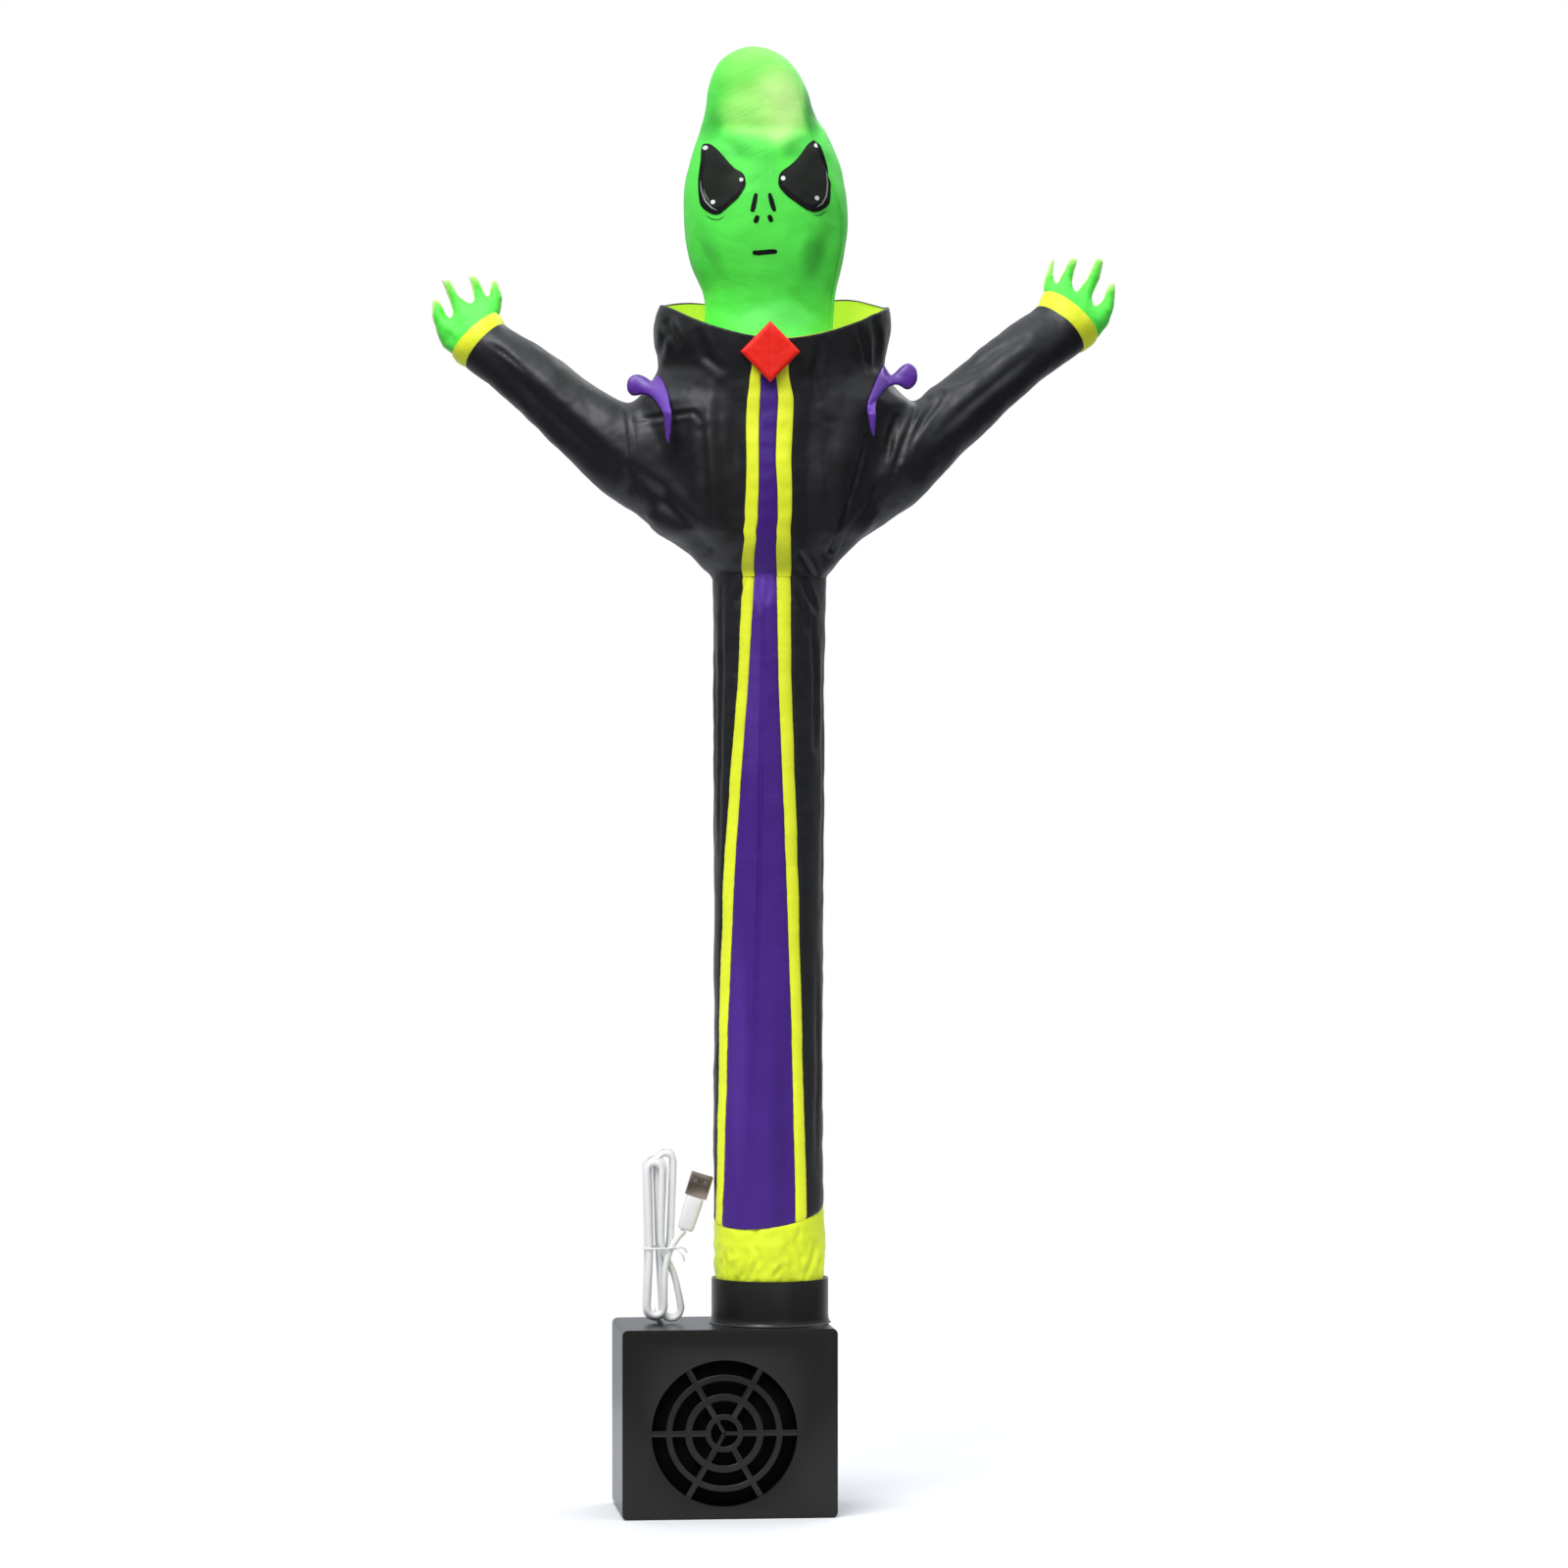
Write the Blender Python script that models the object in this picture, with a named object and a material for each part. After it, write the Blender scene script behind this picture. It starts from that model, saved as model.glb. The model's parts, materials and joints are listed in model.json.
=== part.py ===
"""Desk-size inflatable air dancer: a robed, long-headed figure of thin cloth that
stands on its blower, and the blower's power lead tied in a hank.

Blender 4.5.  Run with: blender --background --python part.py

The tables and sizes are in millimetres and the finished meshes in metres, +Z up.
The origin is on the surface that the blower stands on, under the middle of the
tube.  The figure faces -Y.  "left" and "right" are the viewer's.

The cloth is cut as panels of tubes.  A tube is a table with a row for each section:
its height, and how far it reaches left and right (x), to the front and to the back.
Round a tube an angle of 0 is the front, 90 the right side and -90 the left side.
"""

import math

import bmesh
import bpy
from mathutils import Matrix, Vector

MM = 0.001
GAP = 0.3           # between pieces that are sewn or fitted together
CLOTH = 1.2         # thickness of the cloth and its seam allowance
LINING = 1.0

# --- blower -------------------------------------------------------------------
HOUSING_WIDTH = 116.2
HOUSING_DEPTH = 78.0
HOUSING_HEIGHT = 101.7
HOUSING_CENTRE_X = -25.3
HOUSING_ROUND = 3.0
COVER_THICK = 3.0
NOZZLE_OUTER = 31.75
NOZZLE_INNER = 29.95
NOZZLE_FOOT = 1.6           # how far the foot flares out
NOZZLE_LEDGE = 27.5         # inner radius under the ledge that the hem rests on
NOZZLE_TOP = 126.4
LEDGE_HEIGHT = 114.0
GRILLE_CENTRE = (-28.4, 46.0)           # x and height
GRILLE_RADIUS = 39.3
GRILLE_RINGS = ((31.5, 28.1), (21.2, 17.4), (10.3, 7.2))    # outer and inner radius
GRILLE_BAR_THICK = 2.2
GRILLE_SET_BACK = 0.4
SPOKE_WIDTH = 3.2
THIN_SPOKE_WIDTH = 2.0
CHAMBER_DEPTH = 60.0
OUTLET_RADIUS = 27.0
OUTLET_FLOOR = 78.0

# --- cloth tubes: height, left, right, front, back -----------------------------
HEAD = (
    (621.0, -35.5, 34.6, 32.0, 33.0),
    (644.2, -35.5, 34.6, 32.5, 33.0),
    (653.8, -35.1, 35.1, 32.5, 33.5),
    (660.2, -35.9, 35.9, 33.0, 34.5),
    (673.0, -41.0, 38.5, 35.0, 37.5),
    (685.8, -44.8, 41.2, 37.0, 39.5),
    (698.6, -46.5, 42.7, 38.0, 41.0),
    (711.4, -46.5, 42.3, 37.5, 41.5),
    (724.2, -45.5, 40.2, 36.0, 40.5),
    (737.0, -42.3, 36.4, 33.5, 37.5),
    (749.8, -37.6, 30.3, 29.0, 32.5),
    (756.2, -35.8, 25.6, 28.0, 29.5),
    (762.6, -34.7, 22.8, 29.0, 27.0),
    (769.0, -34.1, 20.6, 30.5, 24.5),
    (775.4, -33.0, 18.0, 30.5, 21.5),
    (781.8, -30.7, 14.2, 29.0, 17.5),
    (786.5, -27.8, 9.8, 26.0, 13.0),
    (790.5, -23.0, 4.5, 21.0, 8.0),
    (793.2, -17.8, -1.0, 15.5, 2.5),
    (794.8, -10.2, -8.6, 7.3, -5.7),
)
# The seam from the right temple down the cheek: height and angle.
CHEEK_SEAM = (
    (621.0, 66.0), (653.8, 64.0), (673.0, 62.0), (698.6, 62.0), (711.4, 54.0),
    (724.2, 48.0), (737.0, 43.0), (762.6, 47.0), (786.5, 60.0), (794.8, 70.0),
)
ROBE = (
    (506.8, -31.2, 30.6, 30.5, 30.5),
    (513.0, -37.3, 35.7, 32.5, 32.5),
    (519.4, -43.7, 41.0, 34.5, 34.0),
    (525.8, -51.8, 47.5, 36.5, 36.0),
    (532.2, -64.0, 56.4, 38.0, 37.5),
    (540.0, -70.0, 63.0, 39.5, 39.0),
    (551.0, -72.0, 67.0, 41.0, 40.0),
    (570.6, -75.4, 73.2, 42.0, 41.0),
    (588.0, -77.2, 77.8, 41.5, 40.5),
    (601.6, -75.4, 78.5, 41.0, 40.0),
    (606.9, -70.0, 72.5, 41.0, 40.0),
    (613.3, -64.6, 66.0, 41.5, 40.5),
    (619.7, -61.0, 62.5, 42.0, 41.0),
    (621.6, -50.0, 51.0, 37.0, 36.0),
    (623.6, -36.4, 35.5, 32.9, 33.9),
)
COLLAR = (
    (620.9, -60.4, 62.2, 42.5, 42.0),
    (626.0, -61.2, 62.6, 43.6, 42.8),
    (632.0, -62.9, 63.8, 44.8, 43.6),
    (641.0, -63.5, 65.8, 45.5, 44.0),
    (649.0, -62.4, 65.7, 45.2, 43.6),
    (656.0, -59.6, 63.8, 44.0, 42.0),
    (662.5, -56.5, 61.0, 42.5, 40.0),
)
SKIRT = (
    (150.0, -30.3, 29.5, 29.9, 29.9),
    (181.3, -30.5, 28.8, 29.6, 29.6),
    (261.3, -30.3, 28.6, 29.5, 29.5),
    (341.3, -30.3, 29.0, 29.6, 29.6),
    (395.0, -30.4, 29.3, 29.8, 29.8),
    (448.0, -30.4, 29.4, 30.0, 30.0),
    (506.5, -31.2, 30.4, 30.4, 30.4),
)
HEM = (
    (114.3, -29.5, 29.5, 29.5, 29.5),
    (127.0, -29.5, 29.6, 29.5, 29.5),
    (140.0, -30.2, 30.0, 30.1, 30.1),
    (150.0, -30.3, 29.5, 29.9, 29.9),
    (170.0, -30.4, 28.9, 29.7, 29.7),
)

# Soft folds pressed into the robe: angle, lowest and highest height, half width as an
# angle, depth.
ROBE_FOLDS = (
    (43.0, 522.0, 592.0, 8.0, 2.8),
    (25.0, 510.0, 556.0, 7.0, 1.5),
    (-52.0, 516.0, 584.0, 8.0, 2.2),
    (-31.0, 509.0, 548.0, 7.0, 1.6),
    (132.0, 514.0, 596.0, 10.0, 2.6),
    (224.0, 514.0, 590.0, 10.0, 2.4),
)

# Seams of the front stripes, as angles: height, outer and inner edge of the left
# yellow stripe, inner and outer edge of the right one.
STRIPE_SEAMS = (
    (114.0, -85.0, -66.5, 23.5, 38.5),
    (154.7, -85.0, -66.5, 23.5, 38.5),
    (181.3, -77.5, -61.0, 24.0, 38.5),
    (261.3, -72.5, -55.0, 20.0, 33.0),
    (341.3, -63.5, -46.0, 13.5, 27.5),
    (448.0, -41.0, -28.5, 4.5, 18.5),
    (506.6, -34.0, -21.0, 2.0, 16.5),
    (521.6, -21.0, -13.0, 1.5, 12.0),
    (533.3, -12.0, -6.0, 4.0, 10.5),
    (568.0, -12.0, -7.0, 0.0, 6.5),
    (619.7, -14.0, -9.0, -1.5, 4.5),
    (623.6, -14.0, -9.0, -1.5, 4.5),
)

# --- arms: x and height of the lower edge, x and height of the upper edge, front to
# back size, and how far the section's middle lies behind the figure's middle.  Each
# runs from inside the robe to the knuckles: row 6 is the end of the sleeve and row 7
# the hand's side of the cuff.
ARMS = {
    "left": (
        (-56.0, 529.0, -56.0, 601.0, 52.0, 0.0),
        (-88.3, 551.0, -78.0, 602.1, 50.0, 1.5),
        (-109.0, 571.2, -91.4, 608.6, 43.0, 4.5),
        (-130.1, 590.8, -109.7, 621.8, 38.0, 9.0),
        (-149.5, 609.8, -127.4, 635.0, 34.5, 14.5),
        (-156.6, 616.0, -136.0, 640.0, 32.5, 17.5),
        (-164.2, 621.6, -142.9, 644.4, 31.5, 20.0),
        (-172.2, 627.6, -145.9, 651.0, 31.5, 22.5),
        (-176.6, 632.6, -145.3, 653.6, 29.0, 24.5),
        (-179.8, 638.4, -144.9, 656.4, 24.0, 26.0),
        (-181.7, 645.0, -145.2, 659.2, 16.0, 26.5),
    ),
    "right": (
        (54.0, 530.0, 56.0, 601.0, 52.0, 0.0),
        (81.5, 549.8, 79.0, 603.5, 50.0, 1.5),
        (108.1, 576.8, 88.0, 609.8, 43.0, 4.5),
        (134.3, 601.9, 103.8, 621.9, 38.0, 9.0),
        (157.9, 621.4, 126.8, 641.2, 35.0, 14.5),
        (166.4, 627.2, 138.5, 649.4, 33.0, 17.5),
        (174.6, 632.8, 150.2, 656.8, 32.0, 20.0),
        (183.9, 639.6, 154.0, 665.6, 32.0, 22.5),
        (188.4, 644.4, 154.0, 667.6, 29.5, 24.5),
        (191.4, 649.4, 154.0, 669.4, 24.0, 26.0),
        (192.9, 654.0, 154.3, 671.0, 16.0, 26.5),
    ),
}
# The arms lean back, so the front of each ring lies nearer to the hand: row and how
# far.
RING_LEAN = ((1.0, 0.0), (5.0, 4.6), (7.4, 4.6), (10.0, 0.0))
SLEEVE_END = 6
CUFF_END = 7

# Claws: x and height of the root's middle, of a point half way and of the tip, and
# the root's width.
CLAWS = {
    "left": (
        (-177.2, 644.5, -179.0, 651.5, -181.2, 660.0, 9.6),
        (-165.0, 646.5, -172.0, 662.5, -176.3, 670.0, 10.8),
        (-155.8, 652.4, -158.2, 665.4, -161.8, 672.3, 9.0),
        (-148.6, 656.3, -148.2, 664.6, -149.0, 670.7, 7.2),
    ),
    "right": (
        (157.6, 667.4, 157.8, 677.5, 159.2, 684.8, 7.2),
        (165.6, 663.2, 168.4, 677.2, 170.9, 685.0, 11.0),
        (175.2, 655.5, 182.0, 675.0, 185.3, 685.2, 12.0),
        (187.8, 652.8, 190.6, 663.6, 193.0, 671.9, 9.8),
    ),
}
CLAW_SHAPE = ((0.0, 1.0), (0.5, 0.56), (0.88, 0.36), (1.0, 0.18))

# Purple shoulder pieces: x, height, radius and, for the end that stands clear of the
# robe, the distance in front of the figure's middle.
SHOULDER_PIECES = {
    "left": (
        (-77.6, 612.4, 1.6, 7.0), (-76.6, 612.4, 4.0, 7.0), (-74.2, 612.4, 5.3, 7.5),
        (-71.0, 612.0, 5.2, 9.5), (-67.6, 610.6, 4.2, None), (-63.0, 606.6, 4.5, None),
        (-59.6, 599.8, 3.7, None), (-58.4, 591.5, 2.6, None), (-58.5, 583.5, 1.7, None),
        (-58.5, 579.0, 1.0, None),
    ),
    "right": (
        (79.6, 617.2, 1.6, 7.0), (78.6, 617.1, 4.2, 7.0), (75.6, 616.6, 5.6, 7.5),
        (72.2, 615.6, 5.2, 9.5), (67.2, 613.8, 4.2, None), (60.6, 609.8, 4.4, None),
        (55.8, 603.8, 3.6, None), (53.4, 595.8, 2.6, None), (52.7, 587.8, 1.8, None),
        (52.7, 582.4, 1.0, None),
    ),
}

# --- brooch ---------------------------------------------------------------------
BROOCH_TUBE = (
    (600.0, -64.0, 66.0, 47.6, 44.0),
    (650.0, -64.0, 66.0, 47.6, 44.0),
)
BROOCH_CENTRE = (-4.8, 626.4)       # angle and height
BROOCH_HALF_ANGLE = 14.4
BROOCH_HALF_HEIGHT = 16.5
BROOCH_THICK = 1.6

# --- power lead -------------------------------------------------------------------
LEAD_RADIUS = 1.6
INLET_AT = (-58.0, 62.0)            # x and height on the housing's back
INLET_RADIUS = 6.5
INLET_THICK = 1.6
PLUG_SIZE = (9.0, 8.5, 20.0)
RELIEF_LENGTH = 10.0
HANK_FOOT = (-58.0, 102.1)          # x and height of the hank's lowest point
HANK_TILT = math.radians(2.5)
HANK_THICK = 10.0
# Left and right edge of the hank above its foot, from the bottom up.
HANK_OUTLINE = (
    (0.0, -4.5, 4.5), (1.4, -7.6, 7.6), (4.6, -10.4, 10.4), (9.5, -11.5, 11.4),
    (14.0, -11.5, 11.3), (22.4, -10.9, 9.9), (31.5, -10.0, 7.2), (38.6, -9.9, 5.4),
    (42.4, -9.9, 5.4), (45.0, -10.2, 7.2), (48.6, -10.7, 7.4), (49.6, -10.9, 4.4),
    (59.7, -12.5, 5.1), (70.4, -12.9, 5.5), (81.0, -11.6, 5.5), (88.0, -9.2, 4.6),
    (92.6, -6.4, 2.4), (94.4, -3.6, -0.4),
)
TIE_AT = 40.5
TIE_HEIGHT = 2.2
TIE_THICK = 0.9
USB_TILT = math.radians(15.0)
USB_TAIL = (9.4, 50.4)              # foot of the moulded grip, beside the hank
USB_GRIP = (9.6, 6.8, 18.5)         # width, thickness, length
USB_SHELL = (12.0, 4.5, 13.0)
LEAD_ROUTE = (
    (-58.0, 45.6, 86.6), (-58.0, 45.6, 93.0), (-58.0, 44.8, 99.0),
    (-58.1, 41.8, 103.9), (-58.3, 36.8, 106.1), (-58.5, 31.0, 105.6),
    (-58.6, 25.0, 104.3), (-58.6, 18.0, 104.2), (-58.4, 11.5, 105.6),
    (-58.2, 5.6, 107.4),
)

# --- colours: base colour, roughness, metallic ------------------------------------
FINISHES = {
    "green_cloth": ((0.09, 0.72, 0.07), 0.55, 0.0),
    "black_cloth": ((0.018, 0.019, 0.021), 0.6, 0.0),
    "purple_cloth": ((0.08, 0.03, 0.27), 0.6, 0.0),
    "yellow_cloth": ((0.78, 0.88, 0.02), 0.55, 0.0),
    "red_cloth": ((0.85, 0.04, 0.015), 0.6, 0.0),
    "black_plastic": ((0.022, 0.022, 0.02), 0.42, 0.0),
    "white_plastic": ((0.85, 0.85, 0.84), 0.4, 0.0),
    "plated_steel": ((0.62, 0.57, 0.5), 0.3, 1.0),
}


# === scene and materials ============================================================

def clear_scene():
    """Start from an empty scene."""
    for item in list(bpy.data.objects):
        bpy.data.objects.remove(item, do_unlink=True)


def make_collection(name):
    """A collection linked to the scene."""
    collection = bpy.data.collections.new(name)
    bpy.context.scene.collection.children.link(collection)
    return collection


def finish_material(object_name, finish):
    """A material of the object's own, from one row of FINISHES."""
    colour, roughness, metallic = FINISHES[finish]
    material = bpy.data.materials.new(f"{object_name}_{finish}")
    material.use_nodes = True
    shader = material.node_tree.nodes["Principled BSDF"]
    shader.inputs["Base Color"].default_value = (*colour, 1.0)
    shader.inputs["Roughness"].default_value = roughness
    shader.inputs["Metallic"].default_value = metallic
    material.diffuse_color = (*colour, 1.0)
    return material


def add_piece(name, mesh, finish, smooth=True):
    """Put a mesh in the model as one named piece."""
    piece = bpy.data.objects.new(name, mesh)
    MODEL.objects.link(piece)
    mesh.materials.append(finish_material(name, finish))
    if smooth:
        mesh.shade_smooth()
        mesh.set_sharp_from_angle(angle=math.radians(40.0))
    return piece


def add_cutter(name, mesh):
    """Put a mesh among the cutters, which are no part of the model."""
    cutter = bpy.data.objects.new(name, mesh)
    CUTTERS.objects.link(cutter)
    cutter.hide_render = True
    cutter.display_type = "WIRE"
    return cutter


def combine(piece, other, operation):
    """Cut another object out of a piece, or join it on."""
    modifier = piece.modifiers.new(f"{operation.lower()}_{other.name}", "BOOLEAN")
    modifier.object = other
    modifier.operation = operation
    modifier.solver = "EXACT"


# === surfaces of cloth tubes ========================================================

def between(rows, height):
    """The columns of a table at one height, straight between its rows."""
    if height <= rows[0][0]:
        return rows[0][1:]
    for low, high in zip(rows, rows[1:]):
        if height <= high[0]:
            share = (height - low[0]) / (high[0] - low[0])
            return [a + share * (b - a) for a, b in zip(low[1:], high[1:])]
    return rows[-1][1:]


def tube_point(rows, angle, height):
    """A point on a cloth tube; the angle is in degrees from the front."""
    left, right, front, back = between(rows, height)
    turn = math.radians(angle)
    x = (left + right) / 2 + (right - left) / 2 * math.sin(turn)
    y = (back - front) / 2 - (back + front) / 2 * math.cos(turn)
    return Vector((x, y, height))


def tube_surface(rows):
    """The surface of a tube as a function of angle and height."""
    low, high = rows[0][0], rows[-1][0]
    return lambda angle, height: tube_point(rows, angle, min(max(height, low), high))


def fold_depth(angle, height):
    """How deep the robe's folds press in at a place."""
    depth = 0.0
    for middle, low, high, half_width, deepest in ROBE_FOLDS:
        if low < height < high:
            away = (angle - middle + 180.0) % 360.0 - 180.0
            fade = math.sin(math.pi * (height - low) / (high - low))
            depth += deepest * fade * math.exp(-(away / half_width) ** 2)
    return depth


def folded_robe(angle, height):
    """The robe's surface with its folds."""
    point = tube_surface(ROBE)(angle, height)
    inward = Vector((-point.x, -point.y, 0.0)).normalized()
    return point + inward * fold_depth(angle, height)


def arm_section(rows, row):
    """The low point, high point and front to back size of an arm at a row number."""
    row = min(max(row, 0.0), len(rows) - 1.0)
    index = min(int(row), len(rows) - 2)
    share = row - index
    low_x, low_z, up_x, up_z, depth, behind = (
        a + share * (b - a) for a, b in zip(rows[index], rows[index + 1]))
    return Vector((low_x, behind, low_z)), Vector((up_x, behind, up_z)), depth


def arm_surface(side):
    """The surface of an arm as a function of angle and row; an angle of 0 is its top."""
    rows = ARMS[side]
    turn_sign = 1.0 if side == "left" else -1.0

    def point(angle, row):
        low, up, depth = arm_section(rows, row)
        before_low, before_up, _ = arm_section(rows, row - 0.5)
        after_low, after_up, _ = arm_section(rows, row + 0.5)
        along = (after_low + after_up - before_low - before_up).normalized()
        lean = between(RING_LEAN, row)[0]
        turn = math.radians(angle)
        across = Vector((0.0, turn_sign * depth / 2, 0.0)) - along * turn_sign * lean
        return (low + up) / 2 + (up - low) / 2 * math.cos(turn) + across * math.sin(turn)

    return point


def outward(surface, angle, along, step):
    """The outward direction of a surface, measured over a small step each way.

    With a step of 0 the direction is kept in the plane of the section.
    """
    round_it = surface(angle + 1.0, along) - surface(angle - 1.0, along)
    if step > 0.0:
        along_it = surface(angle, along + step) - surface(angle, along - step)
        return round_it.cross(along_it).normalized()
    top, bottom = surface(0.0, along), surface(180.0, along)
    side = surface(90.0, along) - surface(-90.0, along)
    direction = round_it.cross((top - bottom).cross(side)).normalized()
    middle = (top + bottom) / 2
    return direction if direction.dot(surface(angle, along) - middle) > 0 else -direction


# === solids from grids of points ====================================================

def close_grids(name, outer, inner, whole_ring):
    """A thin closed solid between two matching grids of points, in metres."""
    form = bmesh.new()
    skins = [[[form.verts.new(point * MM) for point in row] for row in grid]
             for grid in (outer, inner)]
    rows, columns = len(outer), len(outer[0])
    columns_used = columns if whole_ring else columns - 1
    for i in range(rows - 1):
        for j in range(columns_used):
            k = (j + 1) % columns
            for skin in skins:
                form.faces.new((skin[i][j], skin[i][k], skin[i + 1][k], skin[i + 1][j]))
    for i in (0, rows - 1):
        for j in range(columns_used):
            k = (j + 1) % columns
            form.faces.new((skins[0][i][j], skins[0][i][k], skins[1][i][k], skins[1][i][j]))
    if not whole_ring:
        for j in (0, columns - 1):
            for i in range(rows - 1):
                form.faces.new((skins[0][i][j], skins[0][i + 1][j],
                                skins[1][i + 1][j], skins[1][i][j]))
    return finished_mesh(form, name)


def close_loft(name, rings):
    """A filled closed solid through rings of points, with a flat cap at each end."""
    form = bmesh.new()
    loops = [[form.verts.new(point * MM) for point in ring] for ring in rings]
    count = len(rings[0])
    for low, high in zip(loops, loops[1:]):
        for j in range(count):
            k = (j + 1) % count
            form.faces.new((low[j], low[k], high[k], high[j]))
    form.faces.new(loops[0])
    form.faces.new(loops[-1])
    return finished_mesh(form, name)


def finished_mesh(form, name):
    """Turn the faces outward and keep the form as a mesh."""
    bmesh.ops.recalc_face_normals(form, faces=form.faces[:])
    mesh = bpy.data.meshes.new(name)
    form.to_mesh(mesh)
    form.free()
    return mesh


def value_at(limit, angle):
    """A limit is a plain height or a function of the angle."""
    return limit(angle) if callable(limit) else limit


def panel(name, surface, heights, edges, columns, finish, wall=CLOTH, sunk=0.0, step=1.0):
    """One cloth panel of a tube.

    heights: the rows, from the bottom up; the first and last may follow the angle.
    edges: a function of height that gives the left and right edge as angles, or None
        for a panel that goes all the way round.
    sunk: how far the outer face lies inside the surface.
    """
    outer, inner = [], []
    for height in heights:
        mid_height = value_at(height, 0.0)
        if edges is None:
            angles = [360.0 * j / columns for j in range(columns)]
        else:
            left, right = edges(mid_height)
            left += half_gap_angle(surface, left, mid_height)
            right -= half_gap_angle(surface, right, mid_height)
            angles = [left + (right - left) * j / columns for j in range(columns + 1)]
        outer_row, inner_row = [], []
        for angle in angles:
            level = value_at(height, angle)
            point = surface(angle, level)
            direction = outward(surface, angle, level, step)
            outer_row.append(point - direction * sunk)
            inner_row.append(point - direction * (sunk + wall))
        outer.append(outer_row)
        inner.append(inner_row)
    return add_piece(name, close_grids(name, outer, inner, edges is None), finish)


def half_gap_angle(surface, angle, height):
    """The angle that takes up half the gap between two panels."""
    speed = (surface(angle + 0.5, height) - surface(angle - 0.5, height)).length
    return min(GAP / 2 / max(speed, 1e-6), 12.0)


def stripe_edges(left_column, right_column):
    """Edges of a panel between two seams of STRIPE_SEAMS; a number is a fixed angle."""
    def edges(height):
        seams = between(STRIPE_SEAMS, height)
        return [seams[c] if isinstance(c, int) else c
                for c in (left_column, right_column)]
    return edges


def back_edges(height):
    """Edges of the skirt's dark back panel: right yellow stripe round to the left one."""
    seams = between(STRIPE_SEAMS, height)
    return seams[3], seams[0] + 360.0


# === figure =========================================================================

def build_head():
    """Four gores: seams at the middle of the face, at the left side, from the right
    temple down the cheek, and behind."""
    surface = tube_surface(HEAD)
    heights = [row[0] for row in HEAD]

    def front_right(height):
        return 0.0, between(CHEEK_SEAM, height)[0]

    def back_right(height):
        return between(CHEEK_SEAM, height)[0], 180.0

    gores = (
        ("head_front_left", lambda height: (-90.0, 0.0), 6),
        ("head_front_right", front_right, 5),
        ("head_back_right", back_right, 7),
        ("head_back_left", lambda height: (180.0, 270.0), 5),
    )
    for name, edges, columns in gores:
        panel(name, surface, heights, edges, columns, "green_cloth", step=0.6)


def sleeve_lumen(side):
    """The space inside a sleeve, which opens the armhole."""
    surface = arm_surface(side)
    rings = []
    for row in (0.0, 0.5, 1.0, 2.0):
        ring = []
        for j in range(20):
            angle = 18.0 * j
            ring.append(surface(angle, row) - outward(surface, angle, row, 0.0) * CLOTH)
        rings.append(ring)
    return add_cutter(f"armhole_{side}", close_loft(f"armhole_{side}", rings))


def robe_block():
    """The robe's outer form as a filled block, a gap larger all round, to trim sleeves."""
    surface = tube_surface(ROBE)
    clearance = GAP + 0.1
    rings = []
    for height in [row[0] for row in ROBE]:
        rings.append([surface(6.0 * j, height)
                      + outward(surface, 6.0 * j, height, 1.0) * clearance
                      for j in range(60)])
    return add_cutter("robe_block", close_loft("robe_block", rings))


def build_robe():
    """The robe's body: fronts, placket stripes and back, with the armholes cut."""
    heights = [row[0] for row in ROBE]
    panels = (
        ("robe_front_left", stripe_edges(-90.0, 0), 9, "black_cloth", "left"),
        ("placket_stripe_left", stripe_edges(0, 1), 1, "yellow_cloth", None),
        ("placket_middle", stripe_edges(1, 2), 2, "purple_cloth", None),
        ("placket_stripe_right", stripe_edges(2, 3), 1, "yellow_cloth", None),
        ("robe_front_right", stripe_edges(3, 90.0), 9, "black_cloth", "right"),
        ("robe_back_right", stripe_edges(90.0, 180.0), 7, "black_cloth", "right"),
        ("robe_back_left", stripe_edges(180.0, 270.0), 7, "black_cloth", "left"),
    )
    armholes = {side: sleeve_lumen(side) for side in ARMS}
    for name, edges, columns, finish, side in panels:
        piece = panel(name, folded_robe, heights, edges, columns, finish)
        if side:
            combine(piece, armholes[side], "DIFFERENCE")


def build_arms():
    """Sleeve, cuff and clawed hand on each side."""
    block = robe_block()
    for side in ARMS:
        surface = arm_surface(side)
        row_gap = GAP / 2 / 7.5     # half a gap as a share of a row, which is 7.5 mm
        sleeve_rows = [0.0, 0.5, 1.0, 1.5, 2.0, 3.0, 4.0, 5.0, SLEEVE_END - row_gap]
        sleeve = panel(f"sleeve_{side}", surface, sleeve_rows, None, 20, "black_cloth",
                       step=0.0)
        combine(sleeve, block, "DIFFERENCE")
        panel(f"cuff_{side}", surface,
              [SLEEVE_END + row_gap, (SLEEVE_END + CUFF_END) / 2, CUFF_END - row_gap],
              None, 20, "yellow_cloth", step=0.0)
        build_hand(side, surface, CUFF_END + row_gap)


def build_hand(side, surface, wrist_row):
    """A puffed hand: a filled palm with four claws."""
    rows = [wrist_row, 8.0, 9.0, 10.0]
    palm = close_loft(f"hand_{side}",
                      [[surface(22.5 * j, row) for j in range(16)] for row in rows])
    hand = add_piece(f"hand_{side}", palm, "green_cloth")
    behind = ARMS[side][-1][-1]
    for number, claw in enumerate(CLAWS[side]):
        combine(hand, claw_cutter(f"claw_{side}_{number}", claw, behind), "UNION")


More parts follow.
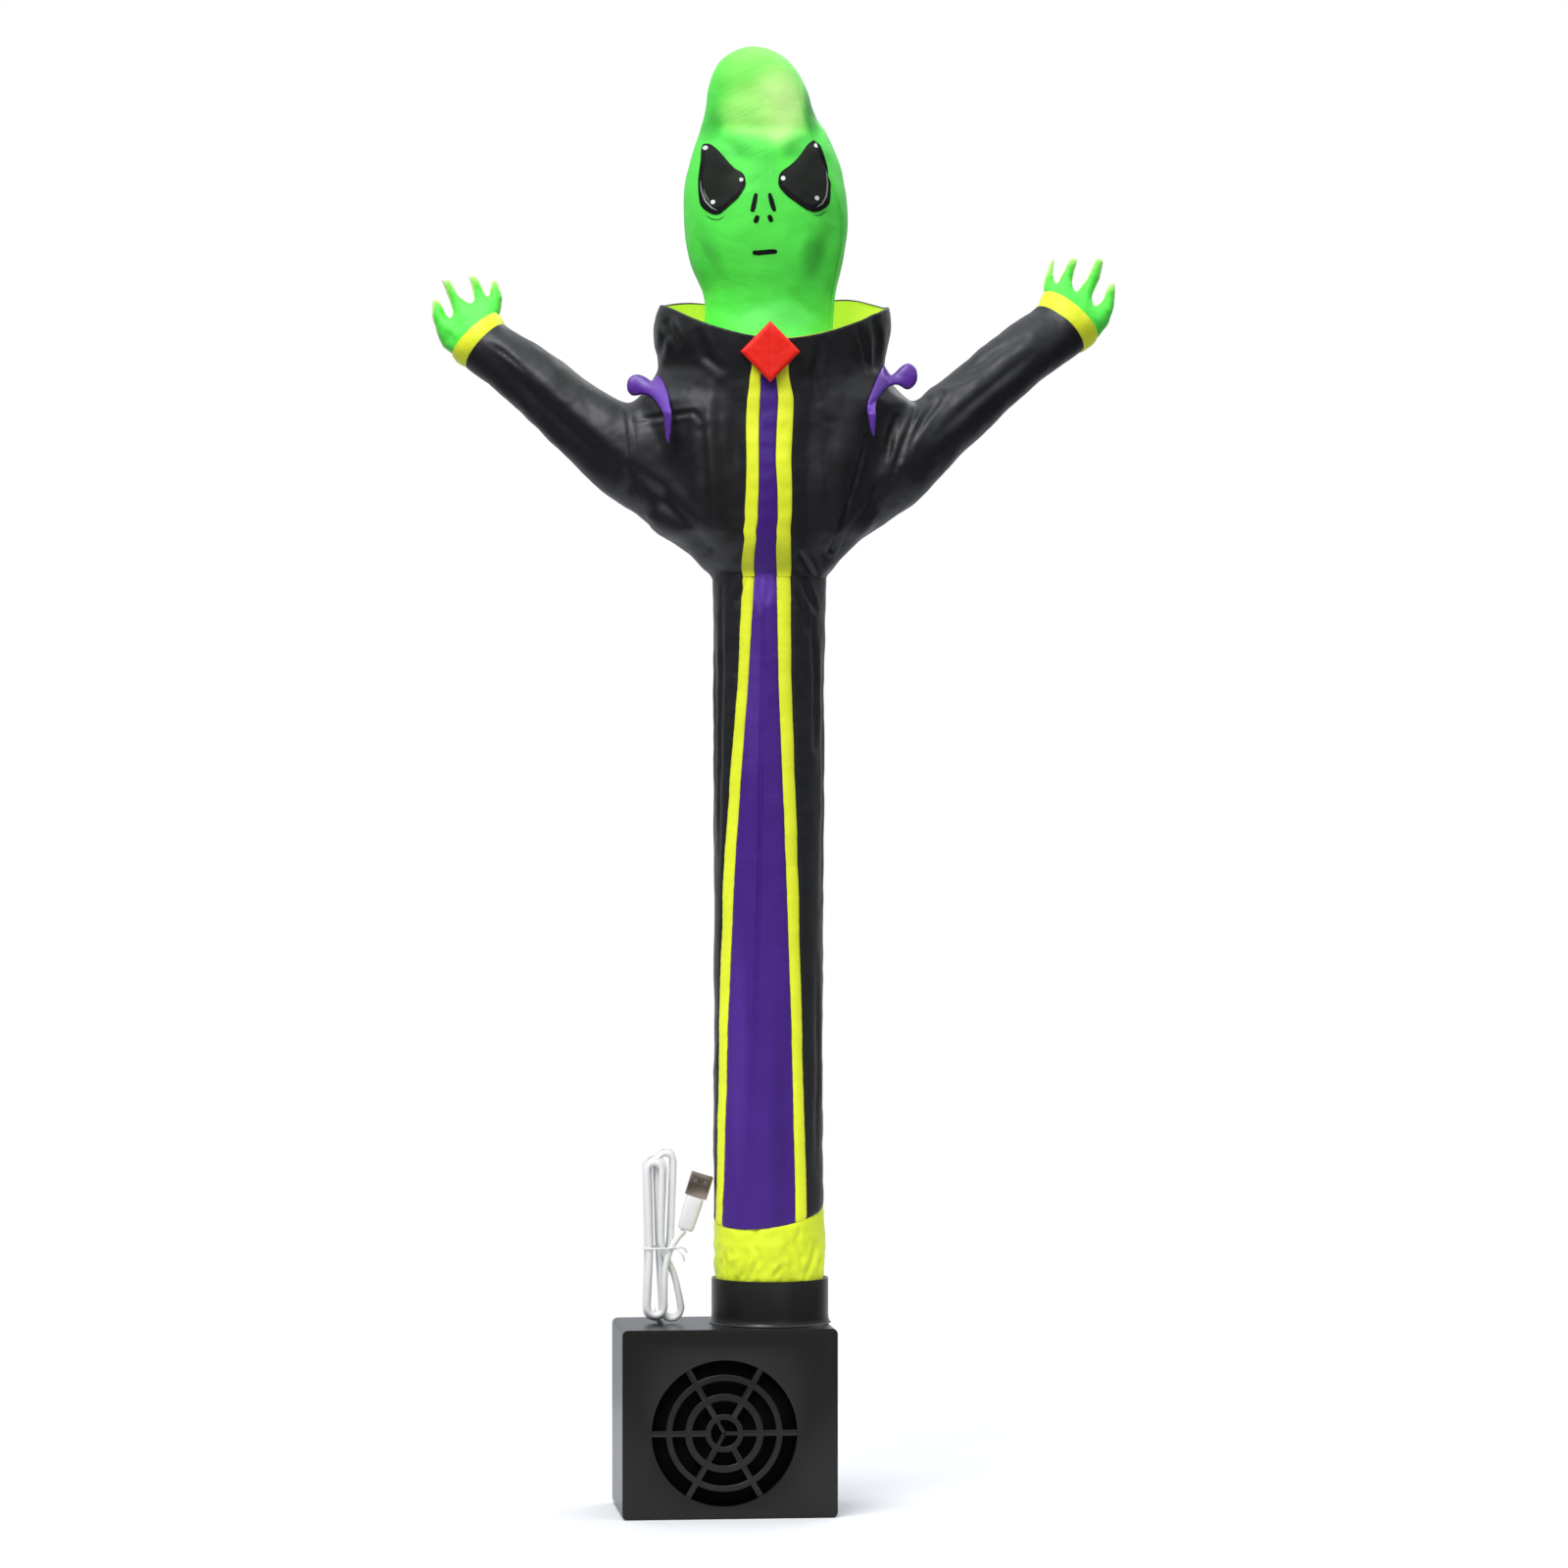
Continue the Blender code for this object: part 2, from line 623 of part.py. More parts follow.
def claw_cutter(name, claw, behind):
    """One curved claw with a small round tip, to be joined to its palm."""
    root_x, root_z, half_x, half_z, tip_x, tip_z, width = claw
    root = Vector((root_x, behind - 1.0, root_z))
    half = Vector((half_x, behind - 0.5, half_z))
    tip = Vector((tip_x, behind, tip_z))
    bend = 2 * half - (root + tip) / 2
    rings = []
    for share, size in CLAW_SHAPE:
        middle = root * (1 - share) ** 2 + bend * 2 * share * (1 - share) + tip * share ** 2
        axis = (bend - root) * (1 - share) + (tip - bend) * share
        side_way = axis.cross(Vector((0.0, 1.0, 0.0))).normalized()
        ring = []
        for j in range(8):
            turn = math.radians(45.0 * j)
            ring.append(middle + side_way * math.cos(turn) * width / 2 * size
                        + Vector((0.0, 1.0, 0.0)) * math.sin(turn) * width * 0.42 * size)
        rings.append(ring)
    return add_cutter(name, close_loft(name, rings))


def collar_top(angle):
    """Height of the collar's upper edge: dipped in front, raised at the back corners."""
    turn = math.radians(angle)
    if math.cos(turn) > 0:
        return 633.4 + 20.8 * abs(math.sin(turn)) ** 1.8
    corner = 5.5 if math.sin(turn) > 0 else 3.0
    return 654.2 + 2.0 * math.cos(turn) ** 2 + corner * math.sin(2 * turn) ** 2


def build_collar():
    """The flared stand collar, sewn from four pieces, and its yellow lining."""
    surface = tube_surface(COLLAR)
    heights = [COLLAR[0][0], lambda angle: 0.5 * (COLLAR[0][0] + collar_top(angle)),
               collar_top]
    quarters = (
        ("collar_front_left", -90.0, 0.0), ("collar_front_right", 0.0, 90.0),
        ("collar_back_right", 90.0, 180.0), ("collar_back_left", 180.0, 270.0),
    )
    for name, left, right in quarters:
        panel(name, surface, heights, lambda height, ends=(left, right): ends,
              8, "black_cloth")
    panel("collar_lining", surface, heights, None, 32, "yellow_cloth",
          wall=LINING, sunk=CLOTH + GAP)


def build_brooch():
    """A red cloth diamond on the front of the collar."""
    centre_angle, centre_height = BROOCH_CENTRE
    levels = (-1.0, -0.5, 0.0, 0.5, 1.0)

    def edges(height):
        reach = BROOCH_HALF_ANGLE * (1.0 - abs(height - centre_height) / BROOCH_HALF_HEIGHT)
        reach = max(reach, 0.6)
        return centre_angle - reach, centre_angle + reach

    panel("brooch", tube_surface(BROOCH_TUBE),
          [centre_height + BROOCH_HALF_HEIGHT * level for level in levels],
          edges, 4, "red_cloth", wall=BROOCH_THICK)


def brought_forward(point, radius, samples):
    """Bring a round form's middle forward until it clears the robe by a gap."""
    point = point.copy()
    while min((sample - point).length for sample in samples) < radius + 0.6:
        point.y -= 0.3
    return point


def build_shoulder_pieces():
    """Purple pieces: a lobe that stands out over the shoulder and a tail down the front."""
    surface = tube_surface(ROBE)
    for side, rows in SHOULDER_PIECES.items():
        turn = -1.0 if side == "left" else 1.0
        samples = [surface(turn * angle, height)
                   for angle in range(30, 116, 2) for height in range(576, 623, 2)]
        path = []
        for x, height, radius, in_front in rows:
            if in_front is None:
                left, right, _, _ = between(ROBE, height)
                share = (x - (left + right) / 2) / ((right - left) / 2)
                angle = math.degrees(math.asin(max(-1.0, min(1.0, share))))
                start = surface(angle, height)
            else:
                start = Vector((x, -in_front, height))
            path.append((brought_forward(start, radius, samples), radius))
        name = f"shoulder_piece_{side}"
        add_piece(name, tube_mesh(name, path, resolution=2), "purple_cloth")


def hem_top(angle):
    """Height of the seam between the skirt and the hem band, lowest at the left front."""
    return 161.8 - 7.5 * math.cos(math.radians(angle + 35.0))


def build_skirt():
    """The straight tube: widening purple front, two yellow stripes and a dark back."""
    surface = tube_surface(SKIRT)
    heights = [lambda angle: hem_top(angle) + GAP]
    heights += [row[0] for row in SKIRT if row[0] > 175.0]
    panels = (
        ("skirt_front", stripe_edges(1, 2), 5, "purple_cloth"),
        ("skirt_stripe_left", stripe_edges(0, 1), 2, "yellow_cloth"),
        ("skirt_stripe_right", stripe_edges(2, 3), 2, "yellow_cloth"),
        ("skirt_back", back_edges, 16, "black_cloth"),
    )
    for name, edges, columns, finish in panels:
        panel(name, surface, heights, edges, columns, finish)
    panel("hem_band", tube_surface(HEM),
          [HEM[0][0], 127.0, 140.0, 150.0, hem_top], None, 24, "yellow_cloth")


# === blower =========================================================================

def box_mesh(name, size, centre):
    """A box, in millimetres."""
    form = bmesh.new()
    place = Matrix.Translation(Vector(centre) * MM) @ Matrix.Diagonal((*size, 1.0))
    place = place @ Matrix.Diagonal((MM, MM, MM, 1.0))
    bmesh.ops.create_cube(form, size=1.0, matrix=place)
    return finished_mesh(form, name)


def disc_mesh(name, radius, thickness, centre, axis, segments=36):
    """A cylinder along the Y or Z axis, in millimetres."""
    form = bmesh.new()
    place = Matrix.Translation(Vector(centre) * MM)
    if axis == "Y":
        place = place @ Matrix.Rotation(math.pi / 2, 4, "X")
    bmesh.ops.create_cone(form, cap_ends=True, segments=segments, radius1=radius * MM,
                          radius2=radius * MM, depth=thickness * MM, matrix=place)
    return finished_mesh(form, name)


def round_edges(piece, width, segments, chosen):
    """Bevel the edges of a piece that a test picks."""
    form = bmesh.new()
    form.from_mesh(piece.data)
    edges = [edge for edge in form.edges if chosen(edge)]
    bmesh.ops.bevel(form, geom=edges, offset=width * MM, segments=segments,
                    profile=0.5, affect="EDGES")
    form.to_mesh(piece.data)
    form.free()


def build_housing():
    """The blower's box: rounded behind, with the fan chamber and the outlet bored in."""
    front = -HOUSING_DEPTH / 2 + COVER_THICK + GAP
    back = HOUSING_DEPTH / 2
    size = (HOUSING_WIDTH, back - front, HOUSING_HEIGHT)
    centre = (HOUSING_CENTRE_X, (front + back) / 2, HOUSING_HEIGHT / 2)
    housing = add_piece("blower_housing", box_mesh("blower_housing", size, centre),
                        "black_plastic")
    front_y = (front + 0.1) * MM
    round_edges(housing, HOUSING_ROUND, 3,
                lambda edge: not all(vertex.co.y < front_y for vertex in edge.verts))
    grille_x, grille_z = GRILLE_CENTRE
    chamber_middle = front + CHAMBER_DEPTH / 2 - 1.0
    chamber = disc_mesh("fan_chamber", GRILLE_RADIUS + 0.3, CHAMBER_DEPTH + 2.0,
                        (grille_x, chamber_middle, grille_z), "Y")
    combine(housing, add_cutter("fan_chamber", chamber), "DIFFERENCE")
    outlet_length = HOUSING_HEIGHT + 1.0 - OUTLET_FLOOR
    outlet = disc_mesh("outlet", OUTLET_RADIUS, outlet_length,
                       (0.0, 0.0, OUTLET_FLOOR + outlet_length / 2), "Z")
    combine(housing, add_cutter("outlet", outlet), "DIFFERENCE")


def build_front_cover():
    """The flat front with the round grille: rings joined by spokes."""
    front = -HOUSING_DEPTH / 2
    grille_x, grille_z = GRILLE_CENTRE
    middle = (HOUSING_CENTRE_X, front + COVER_THICK / 2, HOUSING_HEIGHT / 2)
    cover = add_piece("blower_front_cover",
                      box_mesh("blower_front_cover",
                               (HOUSING_WIDTH, COVER_THICK, HOUSING_HEIGHT), middle),
                      "black_plastic", smooth=False)
    round_edges(cover, 0.6, 1, lambda edge: all(vertex.co.y < (front + 0.1) * MM
                                                for vertex in edge.verts))
    opening = disc_mesh("grille_opening", GRILLE_RADIUS, COVER_THICK + 2.0,
                        (grille_x, middle[1], grille_z), "Y")
    combine(cover, add_cutter("grille_opening", opening), "DIFFERENCE")
    bar_y = front + GRILLE_SET_BACK + GRILLE_BAR_THICK / 2
    for number, (outer, inner) in enumerate(GRILLE_RINGS):
        segments = 36 - 6 * number
        ring = add_cutter(f"grille_ring_{number}",
                          disc_mesh(f"grille_ring_{number}", outer, GRILLE_BAR_THICK,
                                    (grille_x, bar_y, grille_z), "Y", segments))
        hole = disc_mesh(f"ring_hole_{number}", inner, GRILLE_BAR_THICK + 2.0,
                         (grille_x, bar_y, grille_z), "Y", segments)
        combine(ring, add_cutter(f"ring_hole_{number}", hole), "DIFFERENCE")
        combine(cover, ring, "UNION")
    ring_middle = (GRILLE_RINGS[-1][0] + GRILLE_RINGS[-1][1]) / 2
    for number in range(6):
        add_spoke(cover, f"spoke_{number}", 60.0 * number, ring_middle,
                  GRILLE_RADIUS + 0.8, SPOKE_WIDTH, bar_y, 0.1)
    for number in range(3):
        add_spoke(cover, f"thin_spoke_{number}", 120.0 * number, -0.4,
                  ring_middle, THIN_SPOKE_WIDTH, bar_y, 0.2)


def add_spoke(cover, name, angle, start, end, width, bar_y, thinner):
    """Join one straight bar of the grille, from one radius to another."""
    size = (end - start, GRILLE_BAR_THICK - thinner, width)
    mesh = box_mesh(name, size, ((start + end) / 2, 0.0, 0.0))
    grille_x, grille_z = GRILLE_CENTRE
    mesh.transform(Matrix.Translation(Vector((grille_x, bar_y, grille_z)) * MM)
                   @ Matrix.Rotation(math.radians(-angle), 4, "Y"))
    combine(cover, add_cutter(name, mesh), "UNION")


def build_nozzle():
    """The round nozzle, turned from its wall section, with the ledge for the hem."""
    low = HOUSING_HEIGHT + GAP
    profile = (
        (NOZZLE_OUTER + NOZZLE_FOOT, low), (NOZZLE_LEDGE, low),
        (NOZZLE_LEDGE, LEDGE_HEIGHT), (NOZZLE_INNER, LEDGE_HEIGHT),
        (NOZZLE_INNER, NOZZLE_TOP), (NOZZLE_OUTER, NOZZLE_TOP),
        (NOZZLE_OUTER, low + 3.0), (NOZZLE_OUTER + NOZZLE_FOOT * 0.3, low + 1.2),
    )
    form = bmesh.new()
    corners = [form.verts.new((radius * MM, 0.0, height * MM)) for radius, height in profile]
    for one, two in zip(corners, corners[1:] + corners[:1]):
        form.edges.new((one, two))
    bmesh.ops.spin(form, geom=form.verts[:] + form.edges[:], axis=(0.0, 0.0, 1.0),
                   cent=(0.0, 0.0, 0.0), angle=math.tau, steps=36, use_merge=True)
    bmesh.ops.remove_doubles(form, verts=form.verts[:], dist=0.00001)
    mesh = finished_mesh(form, "blower_nozzle")
    add_piece("blower_nozzle", mesh, "black_plastic")


# === power lead =====================================================================

def tube_mesh(name, path, resolution=2):
    """A tube along points, each with its own radius, as a closed mesh."""
    curve = bpy.data.curves.new(name, "CURVE")
    curve.dimensions = "3D"
    curve.bevel_depth = MM
    curve.bevel_resolution = resolution
    curve.use_fill_caps = True
    spline = curve.splines.new("POLY")
    spline.points.add(len(path) - 1)
    for point, (place, radius) in zip(spline.points, path):
        point.co = (*(place * MM), 1.0)
        point.radius = radius
    holder = bpy.data.objects.new(f"{name}_curve", curve)
    bpy.context.scene.collection.objects.link(holder)
    evaluated = holder.evaluated_get(bpy.context.evaluated_depsgraph_get())
    mesh = bpy.data.meshes.new_from_object(evaluated)
    bpy.data.objects.remove(holder, do_unlink=True)
    form = bmesh.new()
    form.from_mesh(mesh)
    bmesh.ops.remove_doubles(form, verts=form.verts[:], dist=0.00001)
    bmesh.ops.recalc_face_normals(form, faces=form.faces[:])
    form.to_mesh(mesh)
    form.free()
    mesh.name = name
    return mesh


def smooth_route(points, parts):
    """Points of a smooth curve through a route's own points."""
    route = [Vector(point) for point in points]
    padded = [2 * route[0] - route[1]] + route + [2 * route[-1] - route[-2]]
    smooth = []
    for before, start, end, after in zip(padded, padded[1:], padded[2:], padded[3:]):
        for part in range(parts):
            t = part / parts
            smooth.append(0.5 * (2 * start + (end - before) * t
                                 + (2 * before - 5 * start + 4 * end - after) * t * t
                                 + (3 * start - before - 3 * end + after) * t ** 3))
    smooth.append(route[-1])
    return smooth


def in_hank(across, up, forward=0.0):
    """A place given across and above the hank's foot, in the model's own axes."""
    foot_x, foot_z = HANK_FOOT
    x = foot_x + across * math.cos(HANK_TILT) + up * math.sin(HANK_TILT)
    z = foot_z - across * math.sin(HANK_TILT) + up * math.cos(HANK_TILT)
    return Vector((x, -forward, z))


def build_inlet_and_plug():
    """The power inlet on the back, and the lead's angled plug and strain relief."""
    inlet_x, inlet_z = INLET_AT
    face = HOUSING_DEPTH / 2 + GAP
    inlet = disc_mesh("power_inlet", INLET_RADIUS, INLET_THICK,
                      (inlet_x, face + INLET_THICK / 2, inlet_z), "Y", segments=20)
    add_piece("power_inlet", inlet, "black_plastic")
    plug_y = face + INLET_THICK + GAP + PLUG_SIZE[1] / 2
    plug_centre = (inlet_x, plug_y, inlet_z + 4.0)
    plug = add_piece("lead_plug", box_mesh("lead_plug", PLUG_SIZE, plug_centre),
                     "white_plastic")
    round_edges(plug, 1.2, 2, lambda edge: True)
    relief_low = plug_centre[2] + PLUG_SIZE[2] / 2 - 1.0
    relief = close_loft("lead_relief", [
        [Vector((inlet_x + radius * math.cos(math.radians(30 * j)),
                 plug_y + radius * math.sin(math.radians(30 * j)), relief_low + rise))
         for j in range(12)]
        for radius, rise in ((3.2, 0.0), (2.9, 5.0), (2.1, RELIEF_LENGTH + 1.0))])
    combine(plug, add_cutter("lead_relief", relief), "UNION")


def build_lead_run():
    """The free stretch of the lead, from its plug up over the housing to the hank."""
    path = [(place, LEAD_RADIUS) for place in smooth_route(LEAD_ROUTE, 2)]
    add_piece("lead_run", tube_mesh("lead_run", path, resolution=2), "white_plastic")


def build_hank():
    """The wound lead, drawn in at its tie: the outer form of its loops."""
    right_side = [(right, up) for up, _, right in HANK_OUTLINE]
    left_side = [(left, up) for up, left, _ in reversed(HANK_OUTLINE)]
    curve = bpy.data.curves.new("lead_hank", "CURVE")
    curve.dimensions = "2D"
    curve.fill_mode = "BOTH"
    curve.extrude = (HANK_THICK / 2 - 1.5) * MM
    curve.bevel_depth = 1.5 * MM
    curve.bevel_resolution = 1
    curve.offset = -1.5 * MM
    spline = curve.splines.new("POLY")
    outline = right_side + left_side
    spline.points.add(len(outline) - 1)
    spline.use_cyclic_u = True
    for point, (across, up) in zip(spline.points, outline):
        point.co = (across * MM, up * MM, 0.0, 1.0)
    holder = bpy.data.objects.new("lead_hank_curve", curve)
    bpy.context.scene.collection.objects.link(holder)
    evaluated = holder.evaluated_get(bpy.context.evaluated_depsgraph_get())
    mesh = bpy.data.meshes.new_from_object(evaluated)
    bpy.data.objects.remove(holder, do_unlink=True)
    form = bmesh.new()
    form.from_mesh(mesh)
    bmesh.ops.remove_doubles(form, verts=form.verts[:], dist=0.00002)
    foot = Vector((HANK_FOOT[0], 0.0, HANK_FOOT[1])) * MM
    place = (Matrix.Translation(foot) @ Matrix.Rotation(HANK_TILT, 4, "Y")
             @ Matrix.Rotation(math.pi / 2, 4, "X"))
    bmesh.ops.transform(form, matrix=place, verts=form.verts[:])
    bmesh.ops.recalc_face_normals(form, faces=form.faces[:])
    form.to_mesh(mesh)
    form.free()
    mesh.name = "lead_hank"
    hank = add_piece("lead_hank", mesh, "white_plastic")
    return hank


def build_tie():
    """The band that holds the hank together."""
    left, right = next((row[1], row[2]) for row in HANK_OUTLINE if row[0] >= 38.0)
    middle = (left + right) / 2
    outer_size = (right - left + 2 * (GAP + TIE_THICK),
                  HANK_THICK + 2 * (GAP + TIE_THICK), TIE_HEIGHT)
    inner_size = (right - left + 2 * GAP, HANK_THICK + 2 * GAP, TIE_HEIGHT + 2.0)
    turn = Matrix.Translation(in_hank(middle, TIE_AT) * MM) @ Matrix.Rotation(HANK_TILT, 4, "Y")
    outer = box_mesh("lead_tie", outer_size, (0.0, 0.0, 0.0))
    outer.transform(turn)
    inner = box_mesh("tie_space", inner_size, (0.0, 0.0, 0.0))
    inner.transform(turn)
    tie = add_piece("lead_tie", outer, "white_plastic", smooth=False)
    combine(tie, add_cutter("tie_space", inner), "DIFFERENCE")


def build_usb_plug():
    """The flat metal plug on the lead's far end, with its moulded grip."""
    turn = HANK_TILT + USB_TILT
    place = Matrix.Translation(in_hank(*USB_TAIL) * MM) @ Matrix.Rotation(turn, 4, "Y")
    width, thickness, length = USB_GRIP
    rings = []
    for share, size in ((0.0, 0.62), (0.12, 0.86), (0.5, 0.97), (1.0, 1.0)):
        ring = []
        for j in range(16):
            angle = math.radians(22.5 * j + 11.25)
            x = math.copysign(abs(math.cos(angle)) ** 0.5, math.cos(angle)) * width / 2
            y = math.copysign(abs(math.sin(angle)) ** 0.5, math.sin(angle)) * thickness / 2
            ring.append(Vector((x * size, y * size, GAP + share * length)))
        rings.append(ring)
    grip = close_loft("usb_grip", rings)
    grip.transform(place)
    add_piece("usb_grip", grip, "white_plastic")
    shell_low = GAP + length + GAP
    shell = box_mesh("usb_shell", USB_SHELL, (0.0, 0.0, shell_low + USB_SHELL[2] / 2))
    shell.transform(place)
    piece = add_piece("usb_shell", shell, "plated_steel", smooth=False)
    mouth = box_mesh("usb_mouth", (USB_SHELL[0] - 0.8, 1.9, 8.0),
                     (0.0, 0.9, shell_low + USB_SHELL[2] - 3.5))
    mouth.transform(place)
    combine(piece, add_cutter("usb_mouth", mouth), "DIFFERENCE")


def main():
    """Build the figure, the blower and the lead."""
    build_head()
    build_robe()
    build_arms()
    build_collar()
    build_brooch()
    build_shoulder_pieces()
    build_skirt()
    build_housing()
    build_front_cover()
    build_nozzle()
    build_inlet_and_plug()
    build_lead_run()
    build_hank()
    build_tie()
    build_usb_plug()


clear_scene()
MODEL = make_collection("inflatable_air_dancer")
CUTTERS = make_collection("cutters")
main()
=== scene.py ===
"""Looks of the desk-size inflatable air dancer: sewn cloth, printed face, blower and lead.

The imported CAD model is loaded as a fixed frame.  The cloth is made again here at the
same place, with its seams, puckers and creases, and the blower and lead get their
moulded detail.  Tables are in millimetres and meshes in metres, in the frame of the
CAD: +Z up, the figure faces -Y, and "left" and "right" are the viewer's.
"""

import json
import math
from contextlib import contextmanager

import bmesh
import bpy
import numpy as np
from mathutils import Matrix, Vector, geometry, noise
from mathutils.bvhtree import BVHTree

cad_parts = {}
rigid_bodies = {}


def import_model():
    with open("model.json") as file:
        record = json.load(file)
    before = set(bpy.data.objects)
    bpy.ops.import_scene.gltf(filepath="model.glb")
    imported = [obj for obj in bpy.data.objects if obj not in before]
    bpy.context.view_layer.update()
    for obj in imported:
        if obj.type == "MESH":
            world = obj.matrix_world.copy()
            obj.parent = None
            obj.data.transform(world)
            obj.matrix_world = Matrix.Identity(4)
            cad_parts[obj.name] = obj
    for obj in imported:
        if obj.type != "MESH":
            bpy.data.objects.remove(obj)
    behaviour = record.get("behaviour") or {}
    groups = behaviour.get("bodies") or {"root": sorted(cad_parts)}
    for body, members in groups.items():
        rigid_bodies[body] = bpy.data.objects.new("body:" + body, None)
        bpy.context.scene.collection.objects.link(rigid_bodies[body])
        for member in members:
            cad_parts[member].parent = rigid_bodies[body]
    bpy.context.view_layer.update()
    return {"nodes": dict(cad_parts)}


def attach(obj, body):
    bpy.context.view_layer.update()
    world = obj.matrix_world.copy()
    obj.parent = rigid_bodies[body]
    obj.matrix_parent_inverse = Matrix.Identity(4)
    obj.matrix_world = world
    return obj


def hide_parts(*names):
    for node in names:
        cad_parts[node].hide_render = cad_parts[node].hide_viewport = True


bl_info = {
    "name": "Inflatable Air Dancer",
    "version": (1, 0, 0),
    "blender": (4, 5, 0),
    "location": "View3D > Sidebar > Air Dancer",
    "description": "Builds the looks of a desk-size inflatable air dancer on its CAD frame",
    "category": "Add Mesh",
}

MM = 0.001
TINY = 1e-6
FINE_STEP = 0.8          # between the rows of a smooth table (mm)
RIPPLE_SIZE = 17.0       # of the tubes' soft unevenness (mm)
SOFT_ANGLE, SHARP_ANGLE = 35.0, 50.0     # from which edges stay sharp (degrees)
COLLAR_REACH = 90.0      # how far the collar's cut reaches to either side (mm)
PUFF_ROUNDS = 2500       # until a blown-up patch has settled
CAMERA_SHIFT = 0.0077    # of the camera to the right (m)
NARROWEST_SHEET = 0.011  # stands for a sheet's side where that is narrower (m)
LEAST_CUT = 0.31         # share of its rectangle that a sheet's cut fills at least
BODY = "root"

# The frame comes into a scene that is emptied first.
for start_object in list(bpy.data.objects):
    bpy.data.objects.remove(start_object, do_unlink=True)
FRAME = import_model()
TORSO = {}               # holds the robe's surface once it is made, for what lies on it

# --- cloth tubes: height, left, right, front, back (mm) -------------------------
HEAD = (
    (621, -35.5, 34.6, 32, 33),
    (644.2, -35.5, 34.6, 32.5, 33),
    (653.8, -35.1, 35.1, 32.5, 33.5),
    (660.2, -35.9, 35.9, 33, 34.5),
    (673, -41, 38.5, 35, 37.5),
    (685.8, -44.8, 41.2, 37, 39.5),
    (698.6, -46.5, 42.7, 38, 41),
    (711.4, -46.5, 42.3, 37.5, 41.5),
    (724.2, -45.5, 40.2, 36, 40.5),
    (737, -42.3, 36.4, 33.5, 37.5),
    (749.8, -37.6, 30.3, 29, 32.5),
    (756.2, -35.8, 25.6, 28.7, 29.5),
    (762.6, -34.7, 22.8, 29.3, 27),
    (769, -34.1, 20.6, 29.6, 24.5),
    (775.4, -33, 18, 29.4, 21.5),
    (781.8, -30.7, 14.2, 28.2, 17.5),
    (786.5, -27.8, 9.8, 26, 13),
    (790.5, -23, 4.5, 21, 8),
    (793.2, -17.8, -1, 15.5, 2.5),
    (794.8, -10.2, -8.6, 7.3, -5.7),
)
ROBE = (
    (506.8, -31.2, 30.6, 30.5, 30.5),
    (513, -37.3, 35.7, 32.5, 32.5),
    (519.4, -43.7, 41, 34.5, 34),
    (525.8, -51.8, 47.5, 36.5, 36),
    (532.2, -64, 56.4, 38, 37.5),
    (540, -70, 63, 39.5, 39),
    (551, -72, 67, 41, 40),
    (570.6, -75.4, 73.2, 42, 41),
    (588, -77.2, 77.8, 41.5, 40.5),
    (601.6, -75.4, 78.5, 41, 40),
    (606.9, -70, 72.5, 41, 40),
    (613.3, -64.6, 66, 41.5, 40.5),
)
# The robe's floor inside the collar, from the collar in to the neck.
SHELF = (
    (619.7, -57.5, 59, 39.5, 39),
    (621.6, -50, 51, 37, 36),
    (623.6, -36.4, 35.5, 32.9, 33.9),
)
COLLAR = (
    (620.9, -60.4, 62.2, 42.5, 42),
    (626, -61.2, 62.6, 43.6, 42.8),
    (632, -62.9, 63.8, 44.8, 43.6),
    (641, -63.5, 65.8, 45.5, 44),
    (649, -62.4, 65.7, 45.2, 43.6),
    (656, -59.6, 63.8, 44, 42),
    (662.5, -56.5, 61, 42.5, 40),
)
SKIRT = (
    (150, -30.3, 29.5, 29.9, 29.9),
    (181.3, -30.5, 28.8, 29.6, 29.6),
    (261.3, -30.3, 28.6, 29.5, 29.5),
    (341.3, -30.3, 29, 29.6, 29.6),
    (395, -30.4, 29.3, 29.8, 29.8),
    (448, -30.4, 29.4, 30, 30),
    (506.5, -31.2, 30.4, 30.4, 30.4),
)
HEM = (
    (114.3, -29.5, 29.5, 29.5, 29.5),
    (127, -29.5, 29.6, 29.5, 29.5),
    (133, -30.1, 30, 30, 30),
    (150, -30.3, 29.7, 30, 30),
    (170, -30.4, 28.9, 29.7, 29.7),
)

# Seams of the front stripes as angles from the front: height, left yellow stripe's
# outer and inner edge, right yellow stripe's inner and outer edge.
STRIPE_SEAMS = (
    (114, -85, -66.5, 23.5, 38.5),
    (154.7, -85, -66.5, 23.5, 38.5),
    (181.3, -77.5, -61, 24, 38.5),
    (261.3, -72.5, -55, 20, 33),
    (341.3, -63.5, -46, 13.5, 27.5),
    (448, -41, -28.5, 4.5, 18.5),
    (506.6, -34, -21, 2, 16.5),
    (521.6, -21, -13, 1.5, 12),
    (533.3, -12, -6, 4, 10.5),
    (568, -12, -7, 0, 6.5),
    (619.7, -14, -9, -1.5, 4.5),
    (623.6, -14, -9, -1.5, 4.5),
)

